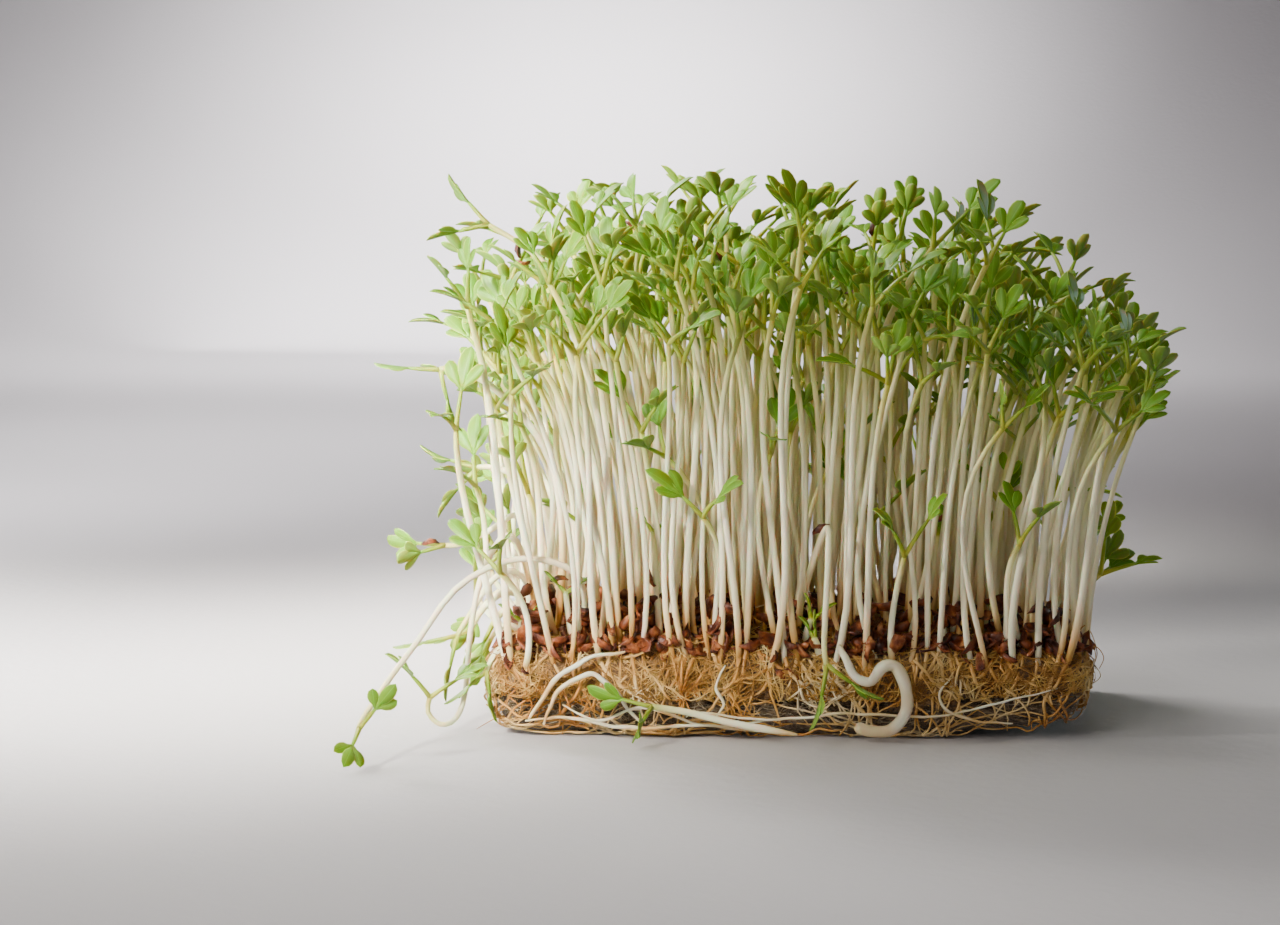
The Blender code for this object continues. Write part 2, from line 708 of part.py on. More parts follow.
def husk_clump(name, centre, rng):
    """Seed coats stuck together in a heap on the felt, one in the middle and the rest round it."""
    husks = []
    for number in range(HUSKS_IN_CLUMP):
        turn = math.tau * number / (HUSKS_IN_CLUMP - 1) + rng.uniform(-0.3, 0.3)
        out = HUSK_OUT if number else 0.2 * MM
        bm = bmesh.new()
        bmesh.ops.create_uvsphere(bm, u_segments=5, v_segments=3, radius=1)
        bmesh.ops.scale(bm, verts=bm.verts, vec=HUSK_HALF_SIZES)
        tip = Matrix.Rotation(math.radians(rng.uniform(62, 88)), 3, "Y")
        bmesh.ops.rotate(bm, verts=bm.verts, matrix=Matrix.Rotation(turn, 3, "Z") @ tip)
        height = FELT_TOP + 1.25 * MM + rng.uniform(0, 0.5) * MM
        place = Vector((centre.x + out * math.cos(turn), centre.y + out * math.sin(turn), height))
        bmesh.ops.translate(bm, verts=bm.verts, vec=place)
        husks.append(add_object(name if number == 0 else "husk", bm, SEED_COAT, cutters))
    return combine(husks[0], husks[1:], "UNION")


def clump_centres(rng, placed, feet):
    """Free places for the clumps on the felt, clear of the crowns and of the stems' feet."""
    low_balls = [ball for seedling in placed for ball in seedling["balls"] if ball[0].z < FELT_TOP + 5 * MM]
    centres = []
    for attempt in range(4000):
        if len(centres) == CLUMPS:
            break
        x = rng.uniform(-1, 1) * (MAT_LENGTH / 2 - 5 * MM)
        y = rng.uniform(-1, 1) * (MAT_DEPTH / 2 - 5 * MM)
        spot = Vector((x, y, FELT_TOP + 1.4 * MM))
        if any((spot.xy - foot.xy).length < CLUMP_REACH + radius for foot, sides, radius in feet):
            continue
        if any((spot - other).length < CLUMP_DISTANCE for other in centres):
            continue
        if any((spot - centre).length < CLUMP_REACH + radius for centre, radius in low_balls):
            continue
        centres.append(spot)
    return centres


# Put the object together

rng = random.Random(SEED)
loose = [loose_seedling(name, **shape) for name, shape in LOOSE.items()]
fallen = loose_seedling("fallen_seedling_front", **FALLEN)
placed = loose + [fallen]
tufts = plan_tufts(rng, placed)

feet = [(tuft["centre"], 6, CROWN_RADIUS) for tuft in tufts]
feet += [(seedling["stem"][0], 4, SINGLE_RADIUS) for seedling in loose]
holes = []
for foot, sides, radius in feet:
    low = MAT_HEIGHT - 2 * MM
    wide = radius + HOLE_GAP / math.cos(math.pi / sides)
    holes.append(post(sides, wide, low, FELT_TOP + 3 * MM, foot, ROOT_FELT, "hole"))

fibre_mat()
root_felt(holes)
for tuft in tufts:
    tuft_solid(tuft)
for seedling in loose:
    loose_solid(seedling, True)
loose_solid(fallen, False)

curl = [Vector(place) * MM for place in CURLED_STEM]
curl_points = stem_points(curl, 2 * len(curl) - 1)
tube("curled_stem_front", curl_points, [CURL_RADIUS] * len(curl_points), THREE_SIDED, PALE_STEM, cress)

for number, centre in enumerate(clump_centres(rng, placed, feet)):
    husk_clump(f"seed_coats_{number + 1}", centre, rng)

bpy.data.objects.remove(THREE_SIDED, do_unlink=True)
for made in cress.objects:
    made.data.shade_smooth()
    made.data.set_sharp_from_angle(angle=math.radians(40))
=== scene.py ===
import math
import random

import bmesh
import bpy
from mathutils import Matrix, Quaternion, Vector, noise


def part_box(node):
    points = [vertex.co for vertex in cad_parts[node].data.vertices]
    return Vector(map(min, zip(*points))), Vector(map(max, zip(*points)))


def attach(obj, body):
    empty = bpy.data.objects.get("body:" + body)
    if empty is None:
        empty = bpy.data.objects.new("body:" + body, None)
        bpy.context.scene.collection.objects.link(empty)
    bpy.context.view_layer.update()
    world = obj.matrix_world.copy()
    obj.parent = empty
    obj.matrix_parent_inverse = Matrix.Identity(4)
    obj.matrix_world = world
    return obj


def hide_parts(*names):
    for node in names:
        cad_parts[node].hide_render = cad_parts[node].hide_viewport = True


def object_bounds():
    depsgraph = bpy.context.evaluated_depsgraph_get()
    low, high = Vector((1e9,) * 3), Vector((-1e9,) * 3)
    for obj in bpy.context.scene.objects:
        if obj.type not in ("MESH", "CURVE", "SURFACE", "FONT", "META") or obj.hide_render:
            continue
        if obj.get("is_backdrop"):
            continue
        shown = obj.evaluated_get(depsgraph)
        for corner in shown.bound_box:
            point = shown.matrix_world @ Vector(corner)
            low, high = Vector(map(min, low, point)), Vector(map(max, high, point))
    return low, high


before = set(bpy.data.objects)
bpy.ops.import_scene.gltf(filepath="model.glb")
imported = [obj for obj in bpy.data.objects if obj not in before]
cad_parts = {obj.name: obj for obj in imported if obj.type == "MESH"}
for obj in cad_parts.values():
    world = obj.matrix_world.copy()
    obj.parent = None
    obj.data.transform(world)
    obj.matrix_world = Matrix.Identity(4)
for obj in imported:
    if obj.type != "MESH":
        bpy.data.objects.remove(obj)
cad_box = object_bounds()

# The paper sweep that the slab of cress stands on: one sheet of pale, slightly lilac paper that
# runs flat under it and curves up far behind it. It is turned right round, so that every side of
# the slab is seen against the same paper.

scene = bpy.context.scene
UP = Vector((0, 0, 1))
SWEEP_FLAT = 0.95
SWEEP_CURVE = 0.75
SWEEP_HEIGHT = 1.7
CURVE_STEPS = 12
ROUND_STEPS = 96


def new_finish(name, colour, roughness, sheen=0.0):
    """A material with its constant sockets set, and its node tree and shader for what varies."""
    made = bpy.data.materials.new(name)
    made.use_nodes = True
    shader = made.node_tree.nodes["Principled BSDF"]
    shader.inputs["Base Color"].default_value = (*colour, 1)
    shader.inputs["Roughness"].default_value = roughness
    shader.inputs["Sheen Weight"].default_value = sheen
    return made, made.node_tree, shader


def add_node(tree, kind, **sockets):
    """A shader node with some of its sockets set; a socket that is given is linked to it."""
    made = tree.nodes.new(kind)
    for name, value in sockets.items():
        key = int(name[1:]) if name[0] == "_" else name.replace("_", " ")
        if isinstance(value, bpy.types.NodeSocket):
            tree.links.new(value, made.inputs[key])
        else:
            made.inputs[key].default_value = value
    return made


def ramp(tree, factor, stops):
    """A colour ramp through (place, colour) stops."""
    made = tree.nodes.new("ShaderNodeValToRGB")
    tree.links.new(factor, made.inputs["Fac"])
    while len(made.color_ramp.elements) < len(stops):
        made.color_ramp.elements.new(0.5)
    for element, (place, colour) in zip(made.color_ramp.elements, stops):
        element.position = place
        element.color = (*colour, 1)
    return made.outputs["Color"]


def object_place(tree, stretch=(1, 1, 1)):
    """The place on the object, stretched along its axes."""
    where = tree.nodes.new("ShaderNodeTexCoord")
    mapping = add_node(tree, "ShaderNodeMapping", Vector=where.outputs["Object"], Scale=stretch)
    return mapping.outputs["Vector"]


def bump(tree, shader, height, distance, strength=1.0):
    """Fine relief on a shader from a height."""
    made = add_node(tree, "ShaderNodeBump", Height=height, Distance=distance, Strength=strength)
    tree.links.new(made.outputs["Normal"], shader.inputs["Normal"])


def mottle(tree, shader, scale, detail, stops):
    """Colour a finish by noise of some scale and detail, through (place, colour) stops."""
    where = object_place(tree)
    cloud = add_node(tree, "ShaderNodeTexNoise", Vector=where, Scale=scale, Detail=detail)
    tree.links.new(ramp(tree, cloud.outputs["Fac"], stops), shader.inputs["Base Color"])


def mix_colours(tree, factor, first, second, blend="MIX"):
    """Two colours mixed by a factor."""
    made = tree.nodes.new("ShaderNodeMix")
    made.data_type = "RGBA"
    made.blend_type = blend
    for place, value in zip((0, 6, 7), (factor, first, second)):
        socket = made.inputs[place]
        if isinstance(value, bpy.types.NodeSocket):
            tree.links.new(value, socket)
        else:
            socket.default_value = value if isinstance(value, float) else (*value, 1)
    return made.outputs[2]


PAPER, tree, shader = new_finish("sweep_paper", (0.62, 0.6, 0.615), 0.8)
grain = add_node(tree, "ShaderNodeTexNoise", Vector=object_place(tree), Scale=420.0, Detail=5.0)
bump(tree, shader, grain.outputs["Fac"], 0.0004, 0.35)

bm = bmesh.new()
profile = [bm.verts.new((reach, 0, 0)) for reach in (0.0, 0.25, 0.6, SWEEP_FLAT)]
for step in range(1, CURVE_STEPS + 1):
    turn = math.pi / 2 * step / CURVE_STEPS
    across = SWEEP_FLAT + SWEEP_CURVE * math.sin(turn)
    profile.append(bm.verts.new((across, 0, SWEEP_CURVE * (1 - math.cos(turn)))))
profile.append(bm.verts.new((SWEEP_FLAT + SWEEP_CURVE, 0, SWEEP_HEIGHT)))
edges = [bm.edges.new(pair) for pair in zip(profile, profile[1:])]
bmesh.ops.spin(
    bm, geom=profile + edges, axis=UP, cent=(0, 0, 0), angle=math.tau, steps=ROUND_STEPS,
    use_merge=True,
)
bmesh.ops.remove_doubles(bm, verts=bm.verts, dist=1e-6)
bmesh.ops.recalc_face_normals(bm, faces=bm.faces)
mesh = bpy.data.meshes.new("paper_sweep")
bm.to_mesh(mesh)
bm.free()
sweep = bpy.data.objects.new("paper_sweep", mesh)
scene.collection.objects.link(sweep)
mesh.materials.append(PAPER)
mesh.shade_smooth()
sweep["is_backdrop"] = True

# The camera and the lamps: a long lens almost level with the slab, soft lamps beside, behind and
# before its left end, a faint blue-green one at the right, and more that light the paper all round.

LENS_MM = 99.2
CAMERA_PLACE = Vector((0, -0.505, 0.0775))
CAMERA_DOWN = 4.71
CAMERA_LEFT = 2.434
WARM = (1.0, 0.96, 0.9)
LILAC = (1.0, 0.97, 0.98)

# Each lamp: its name, place, aim, size, power, colour and spread
LAMPS = [
    ("lamp_left", (-0.34, -0.02, 0.16), (-0.28, 0.02, 0), 0.12, 2.2, WARM, 70),
    ("lamp_left_high", (-0.34, -0.05, 0.22), (-0.28, 0, 0), 0.12, 0.8, WARM, 80),
    ("lamp_left_narrow", (-0.42, -0.14, 0.13), (-0.03, 0, 0.058), 0.06, 0.05, WARM, 15),
    ("lamp_back", (-0.23, 0.22, 0.25), (-0.06, 0.02, 0.04), 0.12, 0.2, (1.0, 0.97, 0.92), 50),
    ("lamp_front", (-0.26, -0.40, 0.26), (-0.09, -0.01, 0.05), 0.1, 0.3, (1.0, 0.95, 0.86), 14),
    ("lamp_front_soft", (-0.22, -0.42, 0.30), (-0.05, 0, 0.03), 0.25, 0.27, WARM, 100),
    ("lamp_top", (-0.15, -0.05, 0.6), (-0.15, 0, 0), 0.3, 0.35, (1.0, 0.97, 0.93), 70),
    ("lamp_right", (0.42, 0.30, 0.10), (0.04, 0, 0.02), 0.12, 0.045, (0.72, 0.97, 0.94), 60),
    ("lamp_floor", (-0.18, 0.46, 0.30), (-0.14, 0.52, 0), 0.2, 0.75, LILAC, 110),
    ("lamp_floor_near", (-0.24, 0.28, 0.22), (-0.2, 0.28, 0), 0.15, 0.2, LILAC, 80),
    ("lamp_floor_far", (-0.12, 0.92, 0.30), (-0.12, 0.98, 0), 0.3, 2.2, LILAC, 140),
    ("lamp_paper", (-0.10, 0.95, 0.45), (-0.09, 1.42, 0.10), 0.15, 0.8, LILAC, 50),
    ("lamp_paper_wide", (-0.05, 1.0, 0.35), (-0.05, 1.42, 0.14), 0.3, 0.45, LILAC, 120),
    ("lamp_paper_low", (-0.16, 0.95, 0.12), (-0.16, 1.42, 0.06), 0.2, 1.0, LILAC, 90),
    ("lamp_paper_front", (0.09, -0.9, 0.4), (0.14, -1.4, 0.15), 0.3, 2.4, LILAC, 130),
    ("lamp_paper_left", (-0.9, 0.18, 0.4), (-1.4, 0.28, 0.15), 0.3, 2.4, LILAC, 130),
    ("lamp_paper_right", (0.9, -0.18, 0.4), (1.4, -0.28, 0.15), 0.3, 2.4, LILAC, 130),
]

camera_data = bpy.data.cameras.new("camera")
camera_data.sensor_width = 36
camera_data.lens = LENS_MM
camera_data.clip_end = 20
camera = bpy.data.objects.new("camera", camera_data)
camera.location = CAMERA_PLACE
camera.rotation_euler = (math.radians(90 - CAMERA_DOWN), 0, math.radians(CAMERA_LEFT))
scene.collection.objects.link(camera)
scene.camera = camera
for name, place, aim, size, power, colour, spread in LAMPS:
    data = bpy.data.lights.new(name, "AREA")
    data.spread = math.radians(spread)
    data.size = size
    data.energy = power
    data.color = colour
    made = bpy.data.objects.new(name, data)
    made.location = place
    made.rotation_euler = (Vector(aim) - Vector(place)).to_track_quat("-Z", "Y").to_euler()
    scene.collection.objects.link(made)

world = bpy.data.worlds.new("studio")
scene.world = world
world.use_nodes = True
world.node_tree.nodes["Background"].inputs["Color"].default_value = (0.93, 0.93, 0.97, 1)
world.node_tree.nodes["Background"].inputs["Strength"].default_value = 0.03

# The growing mat: a sheet of plant fibre felted in level layers, cut to a block whose edges have
# softened with water. Its right end has lifted off the paper.

MM = 0.001
MAT_LENGTH = 80 * MM
MAT_DEPTH = 50 * MM
MAT_HEIGHT = 12 * MM
MAT_ROUNDING = 4 * MM
FLAT_LEFT = -32 * MM
FLAT_RIGHT = 15 * MM
LIFT_RIGHT = 2.4 * MM
LIFT_LEFT = 0.8 * MM
UNEVEN = 0.6 * MM
NET_PITCH = 0.8 * MM


def ripple(p):
    """Smooth unevenness between -1 and 1 that depends only on the place."""
    x, y, z = p.x / MM, p.y / MM, p.z / MM
    return 0.5 * math.sin(0.31 * x + 0.23 * y + 1.1) + 0.5 * math.sin(0.17 * x - 0.37 * y + 0.5 * z)


def rounded(q):
    """The nearest point on the rounded block, and the way out of it there."""
    half = Vector((MAT_LENGTH / 2, MAT_DEPTH / 2, MAT_HEIGHT / 2))
    middle = Vector((0, 0, half.z))
    local = q - middle
    core = Vector([max(MAT_ROUNDING - h, min(h - MAT_ROUNDING, c)) for c, h in zip(local, half)])
    out = (local - core).normalized()
    return middle + core + out * MAT_ROUNDING, out


def block_point(q, offset=0.0):
    """Carry a point near the square block to the rounded, uneven mat, or outside it."""
    p, out = rounded(q)
    p += out * offset
    p += out * (1 - abs(out.z)) * UNEVEN * ripple(p)
    right = max(0.0, (p.x - FLAT_RIGHT) / (MAT_LENGTH / 2 - FLAT_RIGHT))
    left = max(0.0, (FLAT_LEFT - p.x) / (MAT_LENGTH / 2 + FLAT_LEFT))
    lift = LIFT_RIGHT * right ** 1.4 + LIFT_LEFT * left
    p.z += lift * (1 - min(1.0, max(0.0, p.z / MAT_HEIGHT)))
    return p


def fine_block():
    """The mat's square block with a close net of edges."""
    bm = bmesh.new()
    bmesh.ops.create_cube(bm, size=1)
    size = Vector((MAT_LENGTH, MAT_DEPTH, MAT_HEIGHT))
    bmesh.ops.scale(bm, verts=bm.verts, vec=size)
    bmesh.ops.translate(bm, verts=bm.verts, vec=(0, 0, MAT_HEIGHT / 2))
    for axis in range(3):
        along = [e for e in bm.edges if abs((e.verts[0].co - e.verts[1].co).normalized()[axis]) > 0.99]
        cuts = round(size[axis] / NET_PITCH) - 1
        bmesh.ops.subdivide_edges(bm, edges=along, cuts=cuts, use_grid_fill=True)
    return bm


def add_piece(name, bm, finish, slot_name, *nodes):
    """Turn a bmesh into a finished piece that rides on the slab and may replace CAD nodes."""
    mesh = bpy.data.meshes.new(name)
    bm.to_mesh(mesh)
    bm.free()
    made = bpy.data.objects.new(name, mesh)
    scene.collection.objects.link(made)
    mesh.materials.append(finish)
    mesh.shade_smooth()
    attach(made, "root")
    if nodes:
        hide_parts(*nodes)
    return made


MAT_FIBRE, tree, shader = new_finish("felted_fibre", (0.3, 0.22, 0.13), 0.9, 0.25)
layers = add_node(
    tree, "ShaderNodeTexNoise", Vector=object_place(tree, (1, 1, 3.2)), Scale=420.0, Detail=9.0,
    Roughness=0.7,
)
flecks = add_node(
    tree, "ShaderNodeTexNoise", Vector=object_place(tree, (1, 1, 5.0)), Scale=1500.0, Detail=4.0
)
colour = ramp(tree, layers.outputs["Fac"], [
    (0.3, (0.02, 0.011, 0.005)), (0.46, (0.085, 0.053, 0.024)), (0.56, (0.19, 0.125, 0.06)),
    (0.72, (0.42, 0.31, 0.17)),
])
pale = ramp(tree, flecks.outputs["Fac"], [(0.56, (0, 0, 0)), (0.68, (0.3, 0.26, 0.18))])
tree.links.new(mix_colours(tree, 0.8, colour, pale, "ADD"), shader.inputs["Base Color"])
bump(tree, shader, flecks.outputs["Fac"], 0.0006)

bm = fine_block()
for vert in bm.verts:
    out = rounded(vert.co)[1]
    place = vert.co / MM
    layer = noise.noise(Vector((place.x * 0.22, place.y * 0.22, place.z * 1.5)))
    clump = noise.noise(place * 0.9)
    depth = 0.55 * layer + 0.4 * clump - 0.25
    sides = 1 - abs(out.z)
    vert.co = block_point(vert.co, depth * sides * MM)
add_piece("mat_block", bm, MAT_FIBRE, "mat_fibre", "fibre_mat")

# The mat's loose fibres: short cut ends and strands that stand out of its sides, most of them lying
# level as they were felted.

LOOSE_FIBRES = 2250
FLOOR_GAP = 0.35 * MM


def tangent_walk(rng, start, heading, steps, stride, wander, heights, floor):
    """Points of a fibre or root that wanders over the mat at given heights above it."""
    place, out = rounded(start)
    points = []
    for step in range(steps):
        spot = block_point(place, heights[step])
        spot.z = max(spot.z, FLOOR_GAP)
        points.append(spot)
        heading = heading - out * heading.dot(out)
        heading = heading.normalized()
        heading.rotate(Quaternion(out, rng.gauss(0, wander)))
        place, out = rounded(place + heading * stride)
        if place.z < floor:
            heading.z = abs(heading.z) + 0.3
            place, out = rounded(Vector((place.x, place.y, floor)) + out * MM)
    return points


def free_start(rng, low, high):
    """A place on the block's top and sides between two heights, even over its area."""
    reach_x, reach_y = MAT_LENGTH / 2, MAT_DEPTH / 2
    side = rng.random() * (reach_x + reach_y)
    z = rng.uniform(low, high)
    if side < reach_x:
        return Vector((rng.uniform(-reach_x, reach_x), rng.choice((-reach_y, reach_y)), z))
    return Vector((rng.choice((-reach_x, reach_x)), rng.uniform(-reach_y, reach_y), z))


def strands(name, routes, finish, slot_name, roundness=0, nodes=()):
    """Thin tubes along many routes of (points, radii), made as one piece."""
    curve = bpy.data.curves.new(name, "CURVE")
    curve.dimensions = "3D"
    curve.bevel_depth = 1.0
    curve.bevel_resolution = roundness
    curve.use_fill_caps = True
    for points, radii in routes:
        spline = curve.splines.new("POLY")
        spline.points.add(len(points) - 1)
        for knot, place, radius in zip(spline.points, points, radii):
            knot.co = (*place, 1)
            knot.radius = radius
    holder = bpy.data.objects.new(name + "_route", curve)
    scene.collection.objects.link(holder)
    evaluated = holder.evaluated_get(bpy.context.evaluated_depsgraph_get())
    mesh = bpy.data.meshes.new_from_object(evaluated)
    bm = bmesh.new()
    bm.from_mesh(mesh)
    bmesh.ops.remove_doubles(bm, verts=bm.verts, dist=0.001 * MM)
    bmesh.ops.recalc_face_normals(bm, faces=bm.faces)
    bpy.data.objects.remove(holder, do_unlink=True)
    bpy.data.meshes.remove(mesh)
    return add_piece(name, bm, finish, slot_name, *nodes)


LOOSE_FIBRE, tree, shader = new_finish("loose_fibre", (0.5, 0.4, 0.25), 0.8, 0.2)
mottle(tree, shader, 600.0, 2.0, [
    (0.35, (0.12, 0.075, 0.035)), (0.5, (0.27, 0.19, 0.1)), (0.65, (0.55, 0.45, 0.3)),
])

rng = random.Random(21)
routes = []
for index in range(LOOSE_FIBRES):
    steps = rng.randint(3, 6)
    peak = rng.uniform(0.1, 0.7) * MM
    heights = [(-0.3 * MM + peak * math.sin(math.pi * (k + 0.5) / steps)) for k in range(steps)]
    heading = Vector((rng.uniform(-1, 1), rng.uniform(-1, 1), rng.gauss(0, 0.25)))
    start = free_start(rng, 1.5 * MM, 9 * MM)
    stride = rng.uniform(0.6, 1.3) * MM
    points = tangent_walk(rng, start, heading, steps, stride, 0.35, heights, 1.3 * MM)
    radius = rng.uniform(0.03, 0.08) * MM
    routes.append((points, [radius] * steps))
strands("mat_loose_fibres", routes, LOOSE_FIBRE, "mat_fibre")

# The root felt: thousands of fine golden roots grown into one skin over the mat's top and the upper
# part of its sides, with a ragged lower edge.

GAP = 0.35 * MM
FELT_THICKNESS = 1.0 * MM
FELT_TOP = MAT_HEIGHT + GAP + FELT_THICKNESS
SKIRT_HEIGHT = 6.2 * MM
SKIRT_RAGGED = 1.6 * MM
SKIRT_NOTCH = 2.2 * MM

ROOT_FELT, tree, shader = new_finish("root_felt_skin", (0.5, 0.34, 0.14), 0.85, 0.2)
clouds = add_node(tree, "ShaderNodeTexNoise", Vector=object_place(tree), Scale=130.0, Detail=3.0)
threads = add_node(
    tree, "ShaderNodeTexNoise", Vector=object_place(tree), Scale=900.0, Detail=8.0, Roughness=0.75,
    Distortion=1.5,
)
body = ramp(tree, threads.outputs["Fac"], [
    (0.34, (0.035, 0.014, 0.003)), (0.46, (0.16, 0.08, 0.015)), (0.56, (0.36, 0.2, 0.05)),
    (0.68, (0.6, 0.4, 0.14)),
])
golden = ramp(tree, clouds.outputs["Fac"], [(0.35, (0.75, 0.72, 0.72)), (0.65, (1.0, 0.86, 0.6))])
tree.links.new(mix_colours(tree, 1.0, body, golden, "MULTIPLY"), shader.inputs["Base Color"])
bump(tree, shader, threads.outputs["Fac"], 0.0008)

bm = fine_block()
bare = []
for face in bm.faces:
    middle = face.calc_center_median()
    ragged = SKIRT_RAGGED * noise.noise(Vector((middle.x, middle.y, 0)) / (3.5 * MM))
    hangs_low = middle.z > MAT_ROUNDING and ripple(middle) > 0.25
    if middle.z < SKIRT_HEIGHT + ragged - (SKIRT_NOTCH if hangs_low else 0):
        bare.append(face)
bmesh.ops.delete(bm, geom=bare, context="FACES")
for vert in bm.verts:
    place = vert.co / MM
    lump = 0.45 * noise.noise(place * 0.35) + 0.35 * noise.noise(place * 1.1)
    vert.co = block_point(vert.co, GAP + (0.1 + lump) * MM)
grown = bmesh.ops.extrude_face_region(bm, geom=bm.faces[:])
outer = [item for item in grown["geom"] if isinstance(item, bmesh.types.BMVert)]
for vert in outer:
    vert.co += rounded(vert.co)[1] * 0.75 * FELT_THICKNESS
bmesh.ops.recalc_face_normals(bm, faces=bm.faces)
add_piece("felt_skin", bm, ROOT_FELT, "root_felt", "root_felt")

# The fine roots on the felt: pale golden threads that lie over it in all directions. Each has grown
# out of it, runs along it and dives in again.

FINE_ROOTS = 1600
ROOT_BASE = GAP + 0.55 * FELT_THICKNESS

FINE_ROOT, tree, shader = new_finish("fine_root", (0.66, 0.5, 0.25), 0.6)
mottle(tree, shader, 260.0, 3.0, [
    (0.3, (0.16, 0.06, 0.008)), (0.44, (0.38, 0.18, 0.026)), (0.56, (0.6, 0.36, 0.085)),
    (0.72, (0.8, 0.63, 0.29)),
])

rng = random.Random(22)
for area in ("top", "edge", "sides"):
    routes = []
    for index in range(FINE_ROOTS):
        steps = rng.randint(5, 10)
        peak = rng.uniform(0.3, 1.3) * MM
        heights = [ROOT_BASE + peak * math.sin(math.pi * (k + 0.4) / steps) for k in range(steps)]
        heading = Vector((rng.uniform(-1, 1), rng.uniform(-1, 1), rng.gauss(-0.2, 0.7)))
        if area == "top":
            x = rng.uniform(-1, 1) * MAT_LENGTH / 2
            start = Vector((x, rng.uniform(-1, 1) * MAT_DEPTH / 2, MAT_HEIGHT))
        else:
            start = free_start(rng, (8 if area == "edge" else 5) * MM, MAT_HEIGHT)
        stride = rng.uniform(0.7, 1.5) * MM
        points = tangent_walk(rng, start, heading, steps, stride, 0.45, heights, 5.4 * MM)
        radius = rng.choice((0.035, 0.045, 0.06, 0.1)) * MM
        routes.append((points, [radius] * steps))
    strands(f"fine_roots_{area}", routes, FINE_ROOT, "root_felt")

# The thick roots: each comes out of the felt and wanders down a side of the mat, and others run
# level round its foot in a loose band. Old ones are orange and young ones white.

DOWN_ROOTS = 64
LEVEL_ROOTS = 110

THICK_ROOT, tree, shader = new_finish("thick_root", (0.8, 0.72, 0.55), 0.45)
mottle(tree, shader, 110.0, 4.0, [
    (0.36, (0.36, 0.13, 0.014)), (0.48, (0.56, 0.28, 0.055)), (0.58, (0.72, 0.5, 0.2)),
    (0.7, (0.84, 0.74, 0.5)),
])
skin = add_node(tree, "ShaderNodeTexNoise", Vector=object_place(tree), Scale=1800.0, Detail=2.0)
bump(tree, shader, skin.outputs["Fac"], 0.0002, 0.5)


def through(points, count):
    """Evenly numbered points on a smooth curve through some given ones."""
    made = []
    for index in range(count):
        along = index / (count - 1) * (len(points) - 1)
        first = min(int(along), len(points) - 2)
        t = along - first
        before = points[max(0, first - 1)]
        after = points[min(len(points) - 1, first + 2)]
        start, end = points[first], points[first + 1]
        turn = (2 * before - 5 * start + 4 * end - after) * t ** 2
        settle = (3 * (start - end) + after - before) * t ** 3
        made.append(start + ((end - before) * t + turn + settle) * 0.5)
    return made


def tapered(points, thick, loss):
    """A route whose radius falls by a share of itself on its way."""
    return points, [thick * (1 - loss * k / len(points)) for k in range(len(points))]


rng = random.Random(23)
routes = []
for index in range(DOWN_ROOTS):
    start = free_start(rng, 8 * MM, 11.5 * MM)
    steps = rng.choice((5, 6, 7, 8, 12, 15))
    base = GAP + 0.8 * FELT_THICKNESS
    heights = [base + rng.uniform(-0.1, 0.9) * MM for k in range(steps)]
    heights[0] = 0.3 * MM
    heading = Vector((rng.gauss(0, 0.5), rng.gauss(0, 0.5), -1))
    stride = rng.uniform(0.8, 1.4) * MM
    points = tangent_walk(rng, start, heading, steps, stride, 0.3, heights, 1.6 * MM)
    routes.append(tapered(through(points, 3 * steps), rng.uniform(0.1, 0.3) * MM, 0.5))
for index in range(LEVEL_ROOTS):
    steps = rng.randint(8, 26)
    start = free_start(rng, 0.9 * MM, 2.4 * MM)
    heights = [GAP + rng.uniform(-0.1, 1.1) * MM for k in range(steps)]
    heading = Vector((start.y, -start.x, 0)) * rng.choice((-1, 1))
    stride = rng.uniform(1.2, 2.2) * MM
    points = tangent_walk(rng, start, heading, steps, stride, 0.16, heights, 0.8 * MM)
    thick = rng.uniform(0.07, 0.24) * MM
    points = through(points, 2 * steps)
    turn = math.pi / (len(points) + 1)
    routes.append((points, [thick * math.sin(turn * (k + 1)) ** 0.4 for k in range(len(points))]))
strands("thick_roots", routes, THICK_ROOT, "root_felt", 1)

# The loose root ends: thin orange ones that curl out of the mat's right end, and a few at its left
# end and its back.

ROOT_ENDS = [
    [(38.8, -20, 12.6), (40.6, -20.6, 15.2), (41.6, -21, 14.2), (42.4, -21, 11.6),
     (42.0, -21, 9.8)],
    [(37.4, -20, 13.4), (37.6, -21.2, 16.6), (38.4, -21.6, 17.6), (39.6, -21.4, 16.4),
     (40.0, -21.2, 15.0)],
    [(40.2, -19, 10.6), (42.2, -19.6, 12.2), (43.4, -20, 10.8), (42.8, -20.2, 9.2)],
    [(40.4, -15, 8.6), (42.4, -15.4, 9.0), (43.4, -15.6, 7.6), (42.4, -15.6, 6.6),
     (41.6, -15.4, 7.2)],
    [(40.6, -8, 9.6), (42.2, -8.4, 11.0), (43.2, -9, 10.0), (43.0, -9.4, 8.0)],
    [(40.2, 4, 10.6), (42.0, 4.4, 12.4), (43.2, 4, 11.4)],
    [(-39.6, -21, 2.4), (-41.4, -22, 1.6), (-43.2, -22.6, 0.6)],
    [(-40.4, -9, 8.4), (-42.0, -9.6, 9.6), (-43.0, -10.2, 8.4), (-42.6, -10.4, 7.0)],
    [(-12.0, 26.0, 9.6), (-12.6, 27.8, 10.6), (-13.4, 28.6, 9.0), (-13.0, 28.2, 7.6)],
]
routes = []
for places in ROOT_ENDS:
    points = through([Vector(place) * MM for place in places], 6 * len(places))
    routes.append(tapered(points, 0.1 * MM, 0.6))
strands("loose_root_ends", routes, THICK_ROOT, "root_felt", 1)

# The white roots of the front face: young ones, two of which arch clear of it and a few cross its
# foot. Each is held by the felt at its ends.

